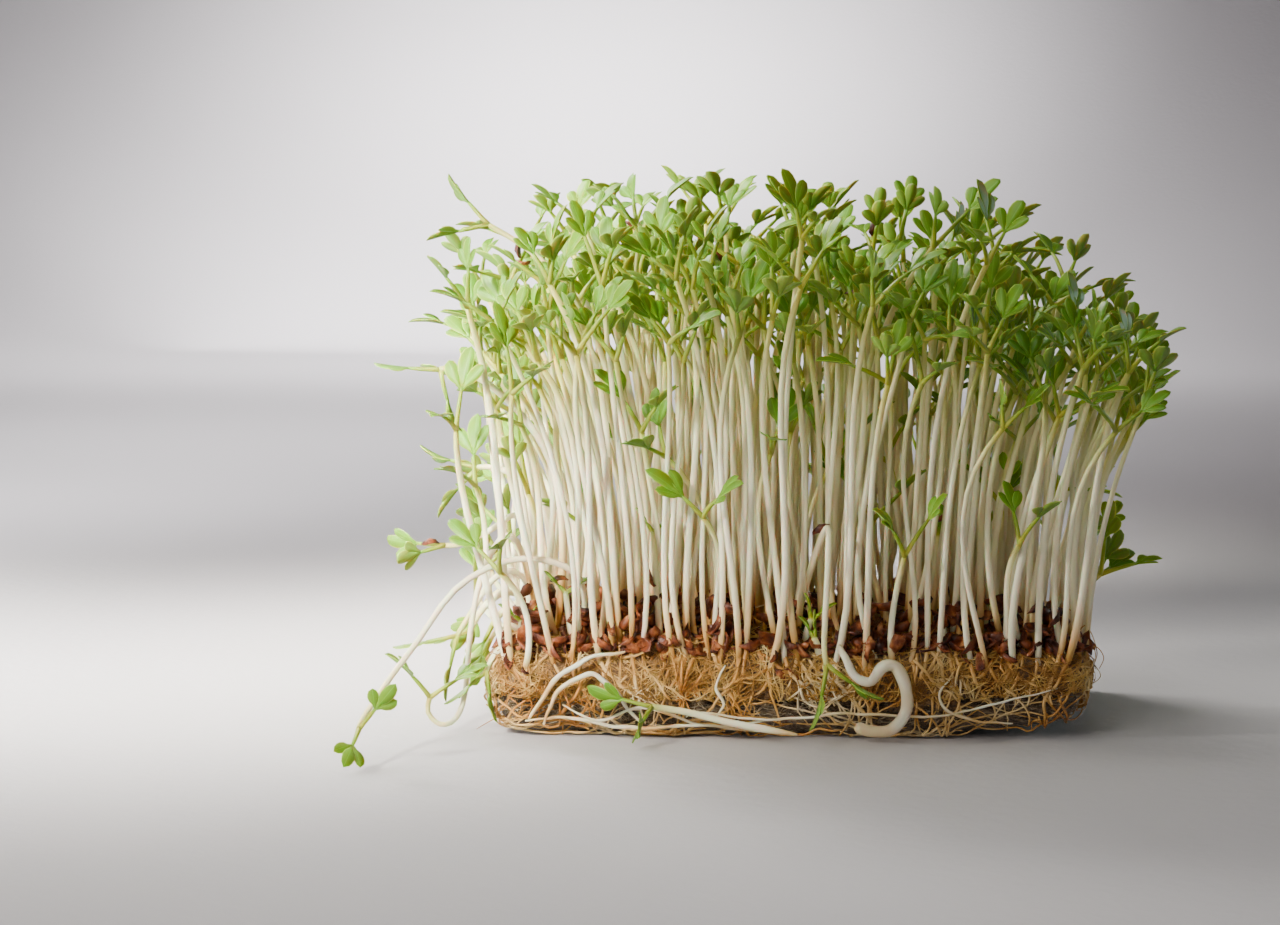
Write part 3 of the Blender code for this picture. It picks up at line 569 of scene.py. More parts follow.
WHITE_ROOT, tree, shader = new_finish("white_root", (0.86, 0.84, 0.74), 0.45)
shader.inputs["Subsurface Weight"].default_value = 0.2
shader.inputs["Subsurface Scale"].default_value = 0.0008
mottle(tree, shader, 160.0, 2.0, [
    (0.36, (0.62, 0.4, 0.15)), (0.46, (0.8, 0.68, 0.42)), (0.6, (0.88, 0.83, 0.66)),
])

# Each one's thickness and its route, in millimetres
ARCHING_ROOTS = [
    (0.36, [(-35.5, -26.4, 2.6), (-34, -27.4, 5.4), (-30.6, -27.8, 9.3), (-27.2, -27.6, 11.2),
            (-22.4, -26.6, 12.1)]),
    (0.34, [(-33.6, -26.6, 2.0), (-32.9, -27.4, 3.9), (-31.2, -28.2, 6.9), (-27.1, -28.4, 9.2),
            (-23.7, -28.0, 7.0), (-21.9, -27.2, 4.0), (-20.0, -27.0, 2.2)]),
    (0.2, [(-14, -27.0, 3.2), (-12, -27.6, 3.8), (-2.5, -27.3, 2.8), (8.4, -27.6, 3.9),
           (19.2, -27.2, 3.4), (28.7, -27.6, 5.5), (36.8, -26.6, 7.4)]),
    (0.27, [(-36.0, -26.4, 2.4), (-30, -27.2, 2.9), (-22, -27.5, 1.6), (-12, -27.6, 2.1),
            (-4, -27.0, 1.2)]),
    (0.22, [(-31, -26.6, 4.6), (-26, -27.6, 2.6), (-19.5, -27.2, 4.4), (-11, -27.5, 2.0),
            (-2, -26.9, 2.8)]),
    (0.24, [(22, -26.6, 8.6), (20.4, -27.2, 6.4), (22.0, -27.4, 4.2), (25.4, -27.3, 3.0),
            (30.6, -26.8, 2.6)]),
    (0.22, [(-8.6, -26.6, 10.2), (-9.8, -27.3, 7.4), (-8.8, -27.5, 5.0), (-10.4, -27.2, 2.6)]),
]
noise.seed_set(31)
routes = []
for thick, places in ARCHING_ROOTS:
    points = through([Vector(place) * MM for place in places], 8 * len(places))
    last = len(points) - 1
    radii = []
    for k, point in enumerate(points):
        swell = 0.35 + 0.65 * math.sin(math.pi * (k + 2) / (last + 4))
        radii.append(thick * MM * swell * (1 + 0.25 * noise.noise(point / (1.5 * MM))))
        points[k] = point + noise.noise_vector(point / (3 * MM)) * 0.3 * MM
    routes.append((points, radii))
strands("arching_roots_front", routes, WHITE_ROOT, "root_felt", 2)

# The bare stem before the front face: a thick white one without leaves that hangs from the felt's
# edge and has curled right round.

BARE_STEM, tree, shader = new_finish("bare_stem", (0.88, 0.85, 0.72), 0.4)
shader.inputs["Subsurface Weight"].default_value = 0.25
shader.inputs["Subsurface Scale"].default_value = 0.001
mottle(tree, shader, 120.0, 2.0, [
    (0.36, (0.74, 0.6, 0.34)), (0.5, (0.85, 0.78, 0.58)), (0.64, (0.88, 0.85, 0.7)),
])
CURLED_STEM = [
    (6.9, -26.6, 12.8), (7.7, -28.3, 11.6), (8.9, -28.7, 9.4), (11.0, -28.9, 8.4),
    (12.8, -29.0, 10.4), (14.6, -29.0, 10.4), (15.9, -29.0, 7.9), (16.0, -29.0, 4.9),
    (14.4, -29.0, 2.2), (11.6, -29.2, 1.6), (9.2, -29.6, 2.6),
]
CURL_POINTS = 49
CURL_THICKENS = 22
points = through([Vector(place) * MM for place in CURLED_STEM], CURL_POINTS)
radii = []
for k, point in enumerate(points):
    thick = (0.4 + 0.45 * min(1.0, k / CURL_THICKENS)) * MM
    radii.append(thick * (1 + 0.14 * noise.noise(point / (1.6 * MM))))
    points[k] = point + noise.noise_vector(point / (2.5 * MM)) * 0.18 * MM
radii[-1] = 0.5 * MM
strands("curled_bare_stem", [(points, radii)], BARE_STEM, "pale_stem", 3, ("curled_stem_front",))

# The loose seedlings, which have drooped, fallen or lean out of the stand. Each is one pale stem
# that parts into two stalks, each with a cotyledon of three spoon-shaped leaflets. The stem is tan
# at the root, white above it and green under the leaves.

STEM_RADIUS = 0.85 * MM
STEM_BALLS = 34
STALK_BALL = 0.55 * MM
LEAF_BALL = 0.5 * MM
PARTING = 0.5 * MM
LOOSE_PETIOLE = 4.2 * MM
LOOSE_SIZE = 0.95
LOOSE_ARCH = 0.012 / MM
SEEDLING_TONE = 0.45

# The turn, length and half width of a cotyledon's three leaflets
LOBES = [
    (math.radians(38), 3.9 * MM, 0.85 * MM),
    (0.0, 5.2 * MM, 1.05 * MM),
    (math.radians(-38), 3.9 * MM, 0.85 * MM),
]


def stem_points(stem, count):
    """Evenly numbered points from a stem's root to where its two cotyledons part.

    Four places pull the stem into a single bow. Any other number is a route that it winds through.
    """
    if len(stem) != 4:
        return through(stem, count)
    a, b, c, d = stem
    points = []
    for index in range(count):
        t = index / (count - 1)
        s = 1 - t
        points.append(a * s ** 3 + b * (3 * s * s * t) + c * (3 * s * t * t) + d * t ** 3)
    return points


def cotyledon_pair(base, heading, toward, openings, petioles, sizes, arches):
    """Two cotyledons that open from a heading, one toward a side, their upper faces inward."""
    side = (toward - heading * toward.dot(heading)).normalized()
    leaves = []
    for way, opening, petiole, size, arch in zip((1, -1), openings, petioles, sizes, arches):
        along = heading * math.cos(opening) + side * way * math.sin(opening)
        face = heading * math.sin(opening) - side * way * math.cos(opening)
        leaves.append({
            "base": base, "along": along, "face": face, "across": face.cross(along),
            "petiole": petiole, "size": size, "arch": arch,
        })
    return leaves


def blade_place(leaf, u, v, lift=0.0):
    """Carry a point of the flat blade to its place on the arched, slightly folded cotyledon."""
    sag = leaf["arch"] * u * u
    fold = 0.22 * abs(v)
    return leaf["base"] + leaf["along"] * u + leaf["across"] * v + leaf["face"] * (fold - sag + lift)


def grown_seedling(tuft, stem, leaves):
    """A seedling, with balls that fill it and are used to keep it clear of the others."""
    balls = [(point, STEM_RADIUS) for point in stem_points(stem, STEM_BALLS)]
    for leaf in leaves:
        steps = max(2, round(leaf["petiole"] / MM))
        for step in range(1, steps + 1):
            balls.append((blade_place(leaf, leaf["petiole"] * step / steps, 0), STALK_BALL))
        for turn, length, width in LOBES:
            for step in (0.25, 0.5, 0.75, 1.0):
                u = leaf["petiole"] + leaf["size"] * length * step * math.cos(turn)
                v = leaf["size"] * length * step * math.sin(turn)
                radius = max(LEAF_BALL, width * min(1.0, 1.5 - 0.8 * step))
                balls.append((blade_place(leaf, u, v), radius))
    return {"tuft": tuft, "stem": stem, "leaves": leaves, "balls": balls}


CELL = 3 * MM
crowd = {}


def cell_of(point):
    """The cell of space that a point is in."""
    return math.floor(point.x / CELL), math.floor(point.y / CELL), math.floor(point.z / CELL)


def plant(seedling):
    """Take up a seedling's room in the crowd."""
    for centre, radius in seedling["balls"]:
        crowd.setdefault(cell_of(centre), []).append((centre, radius, seedling["tuft"]))
    return seedling


SEEDLING, tree, shader = new_finish("cress_green", (0.2, 0.4, 0.08), 0.46)
shader.inputs["Specular IOR Level"].default_value = 0.4
shader.inputs["Subsurface Weight"].default_value = 0.25
shader.inputs["Subsurface Scale"].default_value = 0.0007
growth_node = add_node(tree, "ShaderNodeAttribute")
growth_node.attribute_name = "growth"
tone_node = add_node(tree, "ShaderNodeAttribute")
tone_node.attribute_name = "tone"
parts = add_node(tree, "ShaderNodeSeparateXYZ", Vector=growth_node.outputs["Vector"])
third = add_node(tree, "ShaderNodeMath", _0=parts.outputs["X"], _1=1 / 3)
third.operation = "MULTIPLY"
colour = ramp(tree, third.outputs[0], [
    (0.0, (0.46, 0.2, 0.03)), (0.024, (0.6, 0.33, 0.09)), (0.046, (0.8, 0.6, 0.3)),
    (0.085, (0.92, 0.85, 0.61)), (0.2, (0.92, 0.88, 0.61)), (0.28, (0.8, 0.78, 0.37)),
    (0.333, (0.46, 0.48, 0.06)), (0.5, (0.27, 0.36, 0.022)), (0.66, (0.2, 0.36, 0.012)),
    (0.72, (0.15, 0.33, 0.006)), (1.0, (0.11, 0.28, 0.005)),
])
is_leaf = ramp(tree, third.outputs[0], [(0.64, (0, 0, 0)), (0.67, (1, 1, 1))])
rim = ramp(tree, parts.outputs["Y"], [(0.84, (0, 0, 0)), (0.96, (1, 1, 1))])
rib = ramp(tree, parts.outputs["Y"], [(0.02, (0.6, 0.6, 0.6)), (0.1, (0, 0, 0))])
under = mix_colours(tree, is_leaf, (0, 0, 0), parts.outputs["Z"])
colour = mix_colours(tree, under, colour, (0.17, 0.32, 0.035))
edge = mix_colours(tree, 1.0, is_leaf, rim, "MULTIPLY")
colour = mix_colours(tree, edge, colour, (0.36, 0.58, 0.06))
vein = mix_colours(tree, 1.0, is_leaf, rib, "MULTIPLY")
colour = mix_colours(tree, vein, colour, (0.2, 0.46, 0.04))
shade = ramp(tree, tone_node.outputs["Fac"], [
    (0.0, (0.78, 0.85, 0.8)), (0.5, (1, 1, 1)), (0.85, (1.35, 1.22, 0.95)), (1.0, (2.0, 1.6, 0.9)),
])
is_green = ramp(tree, third.outputs[0], [(0.27, (0, 0, 0)), (0.34, (1, 1, 1))])
# Painted shade: below its green, a stem whose foot lies deep in the stand is painted darker and warmer
# by the second growth value, standing for the shade among the other stems.
inner_shade = ramp(tree, parts.outputs["Y"], [
    (0.0, (1, 1, 1)), (0.5, (0.97, 0.95, 0.9)), (1.0, (0.88, 0.84, 0.74)),
])
shade = mix_colours(tree, is_green, inner_shade, shade)
tree.links.new(mix_colours(tree, 1.0, colour, shade, "MULTIPLY"), shader.inputs["Base Color"])
streaks = add_node(
    tree, "ShaderNodeTexNoise", Vector=object_place(tree, (1, 1, 0.12)), Scale=3000.0, Detail=2.0
)
bump(tree, shader, streaks.outputs["Fac"], 0.0001, 0.35)


def template(name, bm):
    """Keep a shape as a mesh that is copied many times."""
    mesh = bpy.data.meshes.new(name)
    bm.to_mesh(mesh)
    bm.free()
    return mesh


def tube_template(name, sides, rings):
    """A post of radius 1 and height 1, cut into rings, whose copies are bent into stems."""
    bm = bmesh.new()
    raised = Matrix.Translation((0, 0, 0.5))
    bmesh.ops.create_cone(
        bm, cap_ends=True, segments=sides, radius1=1, radius2=1, depth=1, matrix=raised
    )
    upright = [edge for edge in bm.edges if abs(edge.verts[0].co.z - edge.verts[1].co.z) > 0.5]
    bmesh.ops.subdivide_edges(bm, edges=upright, cuts=rings - 1)
    return template(name, bm)


STEM_RINGS = 11
LONG_RINGS = 30
STALK_RINGS = 3
STEM_SHAPE = tube_template("stem_shape", 6, STEM_RINGS)
LONG_STEM_SHAPE = tube_template("long_stem_shape", 7, LONG_RINGS)
STALK_SHAPE = tube_template("stalk_shape", 5, STALK_RINGS)

# A leaflet's shape is a thin slab, 0 to 1 along, -1 to 1 across, with its underside at 0 and its
# upper side at 1
bm = bmesh.new()
bmesh.ops.create_cube(bm, size=1, matrix=Matrix.Translation((0.5, 0, 0.5)))
bmesh.ops.scale(bm, verts=bm.verts, vec=(1, 2, 1))
for axis, cuts in ((0, 5), (1, 1)):
    lines = [e for e in bm.edges if abs(e.verts[0].co[axis] - e.verts[1].co[axis]) > 0.9]
    bmesh.ops.subdivide_edges(bm, edges=lines, cuts=cuts, use_grid_fill=True)
LEAFLET_SHAPE = template("leaflet_shape", bm)


def add_copy(bm, shape, carry, tone):
    """Add a copy of a shape, with each point carried to its place and given its growth."""
    growth = bm.verts.layers.float_vector["growth"]
    tones = bm.verts.layers.float["tone"]
    before = len(bm.verts)
    bm.from_mesh(shape)
    bm.verts.ensure_lookup_table()
    for vert in bm.verts[before:]:
        vert.co, vert[growth] = carry(vert.co.copy())
        vert[tones] = tone


def along_tube(points, radii, first_growth, youngest=0.0, painted_shade=0.0):
    """The carrying of a tube's points along a route, with rings that turn with it; each point also
    gets its growth and its stem's painted shade.
    """
    rings = []
    side = Vector((1, 0, 0))
    for index, point in enumerate(points):
        ahead = points[min(index + 1, len(points) - 1)] - points[max(index - 1, 0)]
        ahead.normalize()
        side = (side - ahead * side.dot(ahead)).normalized()
        rings.append((point, side, ahead.cross(side)))

    def carry(place):
        index = round(place.z * (len(points) - 1))
        point, right, front = rings[index]
        spot = point + (right * place.x + front * place.y) * radii[index]
        return spot, Vector((first_growth + max(youngest, place.z), painted_shade, 0))

    return carry


LEAF_THICKNESS = 0.32 * MM
LEAF_NARROWING = 0.86
STALK_RADII = [0.4 * MM, 0.33 * MM, 0.31 * MM, 0.22 * MM]
NECK_RADIUS = 0.38 * MM
LYING_FOOT = 5 * MM
# How deep in the stand a stem's foot must lie to get the full painted shade
SHADE_DEPTH = 13 * MM


def leaflet_width(s):
    """How wide a spoon-shaped leaflet is along its length, as a share of its widest."""
    spoon = 1 / (1 + math.exp(-12 * (s - 0.35)))
    return 0.15 * (1 - s) + 1.02 * spoon * (1 - s ** 7) ** 0.5 + 0.06


def leaflet_carry(leaf, turn, length, width, curl):
    """The carrying of a leaflet's points onto its cotyledon."""

    def carry(place):
        s, t, upper = place
        s = 1 - (1 - s) ** 1.4
        wide = width * leaflet_width(s)
        along, across = length * s, wide * t
        u = leaf["petiole"] + along * math.cos(turn) - across * math.sin(turn)
        v = along * math.sin(turn) + across * math.cos(turn)
        edge = 1 - 0.75 * abs(t)
        lift = (upper - 0.5) * LEAF_THICKNESS * edge * (1 - 0.5 * s) + 0.25 * wide * abs(t) ** 1.5
        lift += curl * length * s * s
        return blade_place(leaf, u, v, lift), Vector((2 + s, abs(t), 1 - upper))

    return carry


def add_seedling(bm, seedling, rng, paleness=SEEDLING_TONE):
    """One whole seedling: its stem, two stalks and six leaflets.

    A stem that winds has more rings than one with a single bow. The deeper in the stand a stem has
    its foot, the darker it is painted: painted shade that stands for the shade among the other stems.
    """
    tone = min(1.0, max(0.0, rng.gauss(paleness, 0.2)))
    foot = seedling["stem"][0]
    lying = foot.z < LYING_FOOT
    one_bow = len(seedling["stem"]) == 4
    rings = STEM_RINGS if one_bow else LONG_RINGS
    points = stem_points(seedling["stem"], rings + 1)
    points[-1] = seedling["leaves"][0]["base"]
    thick = rng.uniform(0.38, 0.56) * MM
    foot_share, swelling = (0.3, 2.6) if lying else (0.7, 3)
    radii = []
    for k in range(rings + 1):
        along = k / rings
        radius = thick * (1.12 - 0.3 * along) * min(1.0, foot_share + swelling * along)
        radii.append(radius + (NECK_RADIUS - radius) * max(0.0, (along - 0.9) / 0.1))
    # Painted shade: the deeper the foot lies in the stand, the darker the stem is painted.
    depth = min(MAT_LENGTH / 2 - abs(foot.x), MAT_DEPTH / 2 - abs(foot.y)) / SHADE_DEPTH
    painted_shade = 0 if lying else min(1.0, max(0.0, depth))
    youngest = rng.choice((0, 0, 0, 0.05, 0.12, 0.25))
    shape = STEM_SHAPE if one_bow else LONG_STEM_SHAPE
    add_copy(bm, shape, along_tube(points, radii, 0, youngest, painted_shade), tone)
    for leaf in seedling["leaves"]:
        ends = [leaf["petiole"] * 1.06 * k / STALK_RINGS for k in range(STALK_RINGS + 1)]
        stalk = [blade_place(leaf, u, 0) for u in ends]
        add_copy(bm, STALK_SHAPE, along_tube(stalk, STALK_RADII, 1), tone)
        for turn, length, width in LOBES:
            long = length * leaf["size"] * rng.uniform(0.9, 1.08)
            wide = LEAF_NARROWING * width * leaf["size"]
            spread = turn * rng.uniform(0.7, 1.0)
            carry = leaflet_carry(leaf, spread, long, wide, rng.uniform(-0.12, 0.08))
            add_copy(bm, LEAFLET_SHAPE, carry, tone)


def new_stand():
    """An empty mesh for seedlings."""
    bm = bmesh.new()
    bm.verts.layers.float_vector.new("growth")
    bm.verts.layers.float.new("tone")
    return bm


def add_stand(name, bm, *nodes):
    """Finish a mesh of seedlings as a piece."""
    bmesh.ops.recalc_face_normals(bm, faces=bm.faces)
    return add_piece(name, bm, SEEDLING, "seedling", *nodes)


# For each one the side that its first cotyledon opens toward, the openings of both in degrees, and
# its route in millimetres
LOOSE = {
    "drooping_seedling_long": ((0.7, 0, 1), (72, 6), [
        (-29.3, -18.9, 12.8), (-28.2, -20.6, 18.3), (-29.6, -22.6, 22.5), (-34.1, -25.0, 24.5),
        (-39.4, -27.5, 24.3), (-45.3, -31.0, 21.0), (-49.9, -34.3, 14.6), (-53.0, -38.6, 10.4),
        (-55.0, -44.0, 7.4), (-56.0, -48.6, 5.6), (-56.0, -51.4, 4.9),
    ]),
    "drooping_seedling_left": ((-1, 0, 0.6), (45, 15), [
        (-34.4, -11.6, 12.8), (-36.2, -12.6, 18.7), (-38.6, -13.8, 21.6), (-41.6, -15.0, 20.4),
        (-44.4, -16.0, 16.1), (-46.6, -16.6, 12.4),
    ]),
    "curled_seedling_left": ((1, 0.3, 0.3), (50, 40), [
        (-34.4, -19.2, 12.8), (-35.9, -20.2, 21.0), (-37.6, -21.3, 26.6), (-39.8, -22.2, 27.0),
        (-42.4, -22.8, 21.9), (-43.9, -23.2, 14.3), (-44.6, -23.6, 6.0), (-45.9, -24.2, 2.3),
        (-48.0, -24.8, 1.6), (-49.6, -25.6, 3.4), (-49.2, -26.2, 6.0),
    ]),
    "hanging_seedling_left": ((0, 1, 0), (45, 12), [
        (-34.4, -1.9, 12.8), (-37.0, -4.4, 18.6), (-40.5, -6.2, 19.8), (-43.0, -7.2, 16.4),
    ]),
    "level_seedling_left": ((0, 0.3, 1), (15, 42), [
        (-34.4, 10.0, 12.8), (-36.9, 8.6, 26.7), (-39.9, 8.0, 32.9), (-43.8, 8.0, 34.4),
        (-46.0, 8.0, 34.3),
    ]),
    "level_seedling_back": ((0, 1, 0), (45, 30), [
        (-34.4, 13.6, 12.8), (-37.4, 15.6, 24.6), (-40.4, 16.6, 29.7), (-42.6, 16.8, 31.0),
    ]),
    "capped_seedling_left": ((0, 1, 0.2), (28, 28), [
        (-34.4, 1.7, 12.8), (-36.6, -5.6, 24.6), (-38.6, -8.6, 29.0), (-42.3, -10.4, 27.0),
        (-46.4, -11.4, 25.2), (-49.0, -12.0, 25.0),
    ]),
    "arching_seedling_left": ((0, 0, 1), (4, 96), [
        (-32.4, -15.6, 12.8), (-31.4, -18.0, 26.0), (-32.6, -20.2, 36.5), (-36.3, -21.8, 43.5),
        (-41.0, -22.4, 48.2), (-45.4, -22.8, 50.6), (-48.4, -23.0, 50.4),
    ]),
    "tall_seedling_left": ((0, 0.3, 1), (12, 44), [
        (-20.9, -11.8, 12.8), (-22.3, -12.2, 34.5), (-26.5, -12.6, 55.5), (-34.8, -13.0, 65.3),
        (-42.4, -13.5, 70.4),
    ]),
    "tall_seedling_middle": ((0.6, 1, 0.6), (40, 16), [
        (-6.9, -11.8, 12.8), (-9.1, -11.4, 38.3), (-12.7, -11.0, 55.3), (-17.6, -10.6, 65.8),
        (-21.8, -10.4, 70.6),
    ]),
    "leaning_seedling_right": ((-1, 0, 0.5), (30, 55), [
        (34.2, -11.8, 12.8), (34.2, -12.0, 26.0), (35.8, -12.0, 39.6), (39.0, -12.0, 47.4),
        (42.6, -12.0, 53.0),
    ]),
    "small_seedling_right": ((1, 0, 0), (60, 30), [
        (34.2, 0.4, 12.8), (37.9, 0.8, 22.0), (37.0, 1.0, 29.6), (38.6, 1.0, 32.6),
    ]),
    "hanging_seedling_front": ((1, 0, 0), (42, 15), [
        (0.3, -19.0, 12.8), (3.4, -23.0, 24.6), (5.2, -25.8, 29.1), (5.3, -28.4, 25.0),
        (4.9, -29.8, 16.9), (4.8, -30.7, 13.0), (5.2, -31.4, 10.6),
    ]),
    "fallen_seedling_front": ((0, -0.93, -0.35), (72, 8), [
        (1.2, -31.8, 1.6), (-3.0, -31.2, 2.2), (-8.0, -30.6, 3.0), (-14.0, -30.4, 4.4),
        (-19.0, -30.8, 5.2),
    ]),
}


def loose_seedling(name, toward, openings, route, petiole, size):
    """A seedling along its own route."""
    stem = [Vector(place) * MM for place in route]
    heading = (stem[-1] - stem[-2]).normalized()
    leaves = cotyledon_pair(
        stem[-1] - heading * PARTING, heading, Vector(toward),
        [math.radians(opening) for opening in openings], [petiole] * 2, [size] * 2, [LOOSE_ARCH] * 2,
    )
    return plant(grown_seedling(name, stem, leaves))


fine = random.Random(31)
planted = []
for name, shape in LOOSE.items():
    planted.append(loose_seedling(name, *shape, LOOSE_PETIOLE, LOOSE_SIZE))
    bm = new_stand()
    add_seedling(bm, planted[-1], fine)
    add_stand(name + "_fine", bm, name)

# The tufts: three seedlings to a root crown, in four rows of six, each leaning away from the middle
# of the stand and clear of its neighbours. The front left corner has none.

TUFT_PITCH_X = 12.2 * MM
TUFT_PITCH_Y = 11.8 * MM
ROW_SHIFTS = [-0.6 * MM, 2.2 * MM, -1.6 * MM, 1.0 * MM]
COLUMNS = 6
ROWS = 4
TUFT_SEEDLINGS = 3
CANOPY_TOP = 77 * MM
CANOPY_PEAK_X = -14 * MM
CANOPY_FALL = 0.0038 / MM
ROOT_SPREAD = 1.35 * MM
LOW_SPREAD = 1.6 * MM
TOP_SPREAD = 4.4 * MM
LEAN_LEFT = 13 * MM
LEAN_RIGHT = 7 * MM
LEAN_BACK_AND_FRONT = 9 * MM
LEAN_SCATTER = 2.4 * MM
LATE_LEAN = 0.75
ATTEMPTS = 900
CLEARANCE = 0.35 * MM

# How far below the canopy a tuft's seedlings end: the share of them up to a row, and its least and
# most millimetres
TUFT_DROPS = ((0.2, 6, 9), (0.9, 10, 22), (1.0, 22, 38))


def canopy_height(x):
    """The height that the tallest leaves reach, falling off to the right."""
    return CANOPY_TOP - CANOPY_FALL * (x - CANOPY_PEAK_X) ** 2


def is_clear(seedling, clearance):
    """Whether a seedling keeps its distance from those of other tufts."""
    for centre, radius in reversed(seedling["balls"]):
        x, y, z = cell_of(centre)
        for i in (x - 1, x, x + 1):
            for j in (y - 1, y, y + 1):
                for k in (z - 1, z, z + 1):
                    for other, other_radius, tuft in crowd.get((i, j, k), ()):
                        reach = radius + other_radius + clearance
                        near = (centre - other).length_squared < reach * reach
                        if near and tuft != seedling["tuft"]:
                            return False
    return True


def draw_drop(rng, rows):
    """How far below the canopy a seedling ends, drawn from (share, least, most) rows."""
    kind = rng.random()
    least, most = next(row[1:] for row in rows if kind < row[0])
    return rng.uniform(least, most)


def draw_leaves(rng, top, high, openings, petioles, sizes, arches):
    """Two cotyledons at a stem's top, with what tells them apart drawn from ranges."""
    growing = (top - high).normalized()
    heading = (growing + UP * rng.uniform(0.2, 1.2)).normalized()
    azimuth = rng.uniform(0, math.tau)
    toward = Vector((math.cos(azimuth), math.sin(azimuth), 0))
    spans = zip((openings, petioles, sizes, arches), (math.radians(1), MM, 1, 1 / MM))
    drawn = [[rng.uniform(*span) * scale for side in range(2)] for span, scale in spans]
    return cotyledon_pair(top - growing * PARTING, heading, toward, *drawn)


def draw_seedling(rng, tuft, centre, turn):
    """One free draw of an upright seedling in a tuft, leaning away from the middle of the stand."""
    outward = Vector((math.cos(turn), math.sin(turn), 0))
    root = centre + outward * ROOT_SPREAD
    root.z = FELT_TOP - 0.6 * MM
    top = centre + outward * TOP_SPREAD
    sideways = LEAN_LEFT if centre.x < 0 else LEAN_RIGHT
    top.x += sideways * centre.x / (MAT_LENGTH / 2) + rng.gauss(0, LEAN_SCATTER)
    top.y += LEAN_BACK_AND_FRONT * centre.y / (MAT_DEPTH / 2) + rng.gauss(0, LEAN_SCATTER)
    top.z = canopy_height(top.x) - draw_drop(rng, TUFT_DROPS) * MM
    height = top.z - root.z
    kink = Vector((rng.uniform(-1.5, 1.5), rng.uniform(-1.5, 1.5), 0)) * MM
    lean = Vector((top.x - root.x, top.y - root.y, 0))
    bow = Vector((rng.gauss(0, 1.6), rng.gauss(0, 1.6), 0)) * MM
    low = root + kink + outward * LOW_SPREAD + UP * height * 0.3
    high = top - lean * LATE_LEAN + bow - UP * height * 0.32
    leaves = draw_leaves(rng, top, high, (28, 58), (3.4, 6.8), (0.85, 1.1), (0.004, 0.03))
    return grown_seedling(tuft, [root, low, high, top], leaves)


rng = random.Random(26)
centres = []
for row in range(ROWS):
    for column in range(COLUMNS):
        x = (column - (COLUMNS - 1) / 2) * TUFT_PITCH_X + rng.uniform(-0.5, 0.5) * MM
        y = (row - (ROWS - 1) / 2) * TUFT_PITCH_Y + rng.uniform(-0.5, 0.5) * MM
        x += ROW_SHIFTS[row]
        if row > 0 or column > 0:
            centres.append(Vector((x, y, 0)))
for number, centre in enumerate(centres):
    name = f"tuft_{number + 1:02d}"
    spin = rng.uniform(0, math.tau)
    bm = new_stand()
    for member in range(TUFT_SEEDLINGS):
        turn = spin + math.tau * member / TUFT_SEEDLINGS
        for attempt in range(ATTEMPTS):
            seedling = draw_seedling(rng, name, centre, turn)
            if is_clear(seedling, CLEARANCE):
                planted.append(plant(seedling))
                add_seedling(bm, seedling, fine)
                break
    add_stand(name + "_fine", bm, name)

# The late seedlings: small ones that droop over the left end of the mat, and stunted yellow-green
# ones that have only just opened between the feet of the tall ones.

SMALL = [
    ((-1, 0, 0.4), (38, 22), [
        (-35.6, -7.4, 12.6), (-37.4, -9.0, 17.0), (-40.2, -10.4, 18.2), (-43.2, -11.4, 16.0),
        (-45.2, -12.0, 12.6),
    ]),
    ((0, -1, 0.2), (34, 28), [
        (-37.0, -14.8, 12.4), (-38.8, -16.6, 15.4), (-40.6, -18.0, 14.8), (-41.8, -18.8, 12.0),
    ]),
    ((0, 1, 0), (30, 30), [
        (-36.2, 5.2, 12.6), (-38.6, 4.4, 16.4), (-41.6, 3.6, 15.0), (-43.4, 3.0, 11.2),
    ]),
    ((-1, 0, 0.3), (30, 24), [
        (-37.6, -20.6, 11.6), (-39.6, -22.6, 13.0), (-41.0, -23.8, 11.0), (-41.8, -24.2, 8.4),
    ]),
]
STUNTED = [
    ((1, 0, 0), (20, 8), [
        (4.6, -24.6, 10.6), (4.0, -25.6, 12.6), (3.4, -25.8, 14.2),
    ]),
    ((1, 0, 0), (30, 26), [
        (2.2, -22.6, 12.6), (2.6, -23.4, 15.0), (3.2, -23.8, 16.6),
    ]),
    ((1, 0, 0), (60, 40), [
        (-30.0, -20.6, 12.8), (-30.6, -21.2, 17.4), (-30.8, -21.6, 20.0),
    ]),
    ((1, 0, 0), (50, 30), [
        (-17.8, -20.4, 12.8), (-18.4, -20.8, 22.0), (-18.8, -21.0, 28.4),
    ]),
    ((1, 0, 0), (40, 50), [
        (-36.2, -21.2, 12.4), (-36.8, -22.0, 14.6), (-36.8, -22.4, 16.0),
    ]),
    ((0, 1, 0), (20, 30), [
        (19.6, -14.0, 12.8), (20.2, -14.6, 22.0), (20.8, -15.0, 27.6),
    ]),
]
bm = new_stand()
for number, shape in enumerate(SMALL + STUNTED):
    petiole, size, paleness = (3.0, 0.8, 0.4) if number < len(SMALL) else (1.4, 0.55, 0.75)
    planted.append(loose_seedling(f"late_{number}", *shape, petiole * MM, size))
    add_seedling(bm, planted[-1], fine, paleness)
add_stand("late_seedlings", bm)

# The rest of the stand: hundreds of single seedlings that fill the room between the tufts, and a
# row that roots in the felt's edge all round.

FILLING = 380
TRIES = 9000
DRAWS = 12
FOOT_DISTANCE = 1.25 * MM
MAY_TOUCH = 0.5 * MM
FILLING_DROPS = ((0.04, 6, 9), (0.95, 13, 25), (1.0, 24, 48))
SHOULDER_X = -24
SHOULDER_SLOPE = 0.6
FILLING_LATE_LEAN = 0.95
FILLING_SCATTER = 2.8 * MM
EDGE_SHARE = 0.2
EDGE_LOW = 8.5 * MM
EDGE_HIGH = 11.5 * MM
SHORT_STEM = 55 * MM
REACH_PAST_CAD = 1.0 * MM
REACH_LEFT = -49 * MM
THIRD = 13 * MM
filling = random.Random(41)


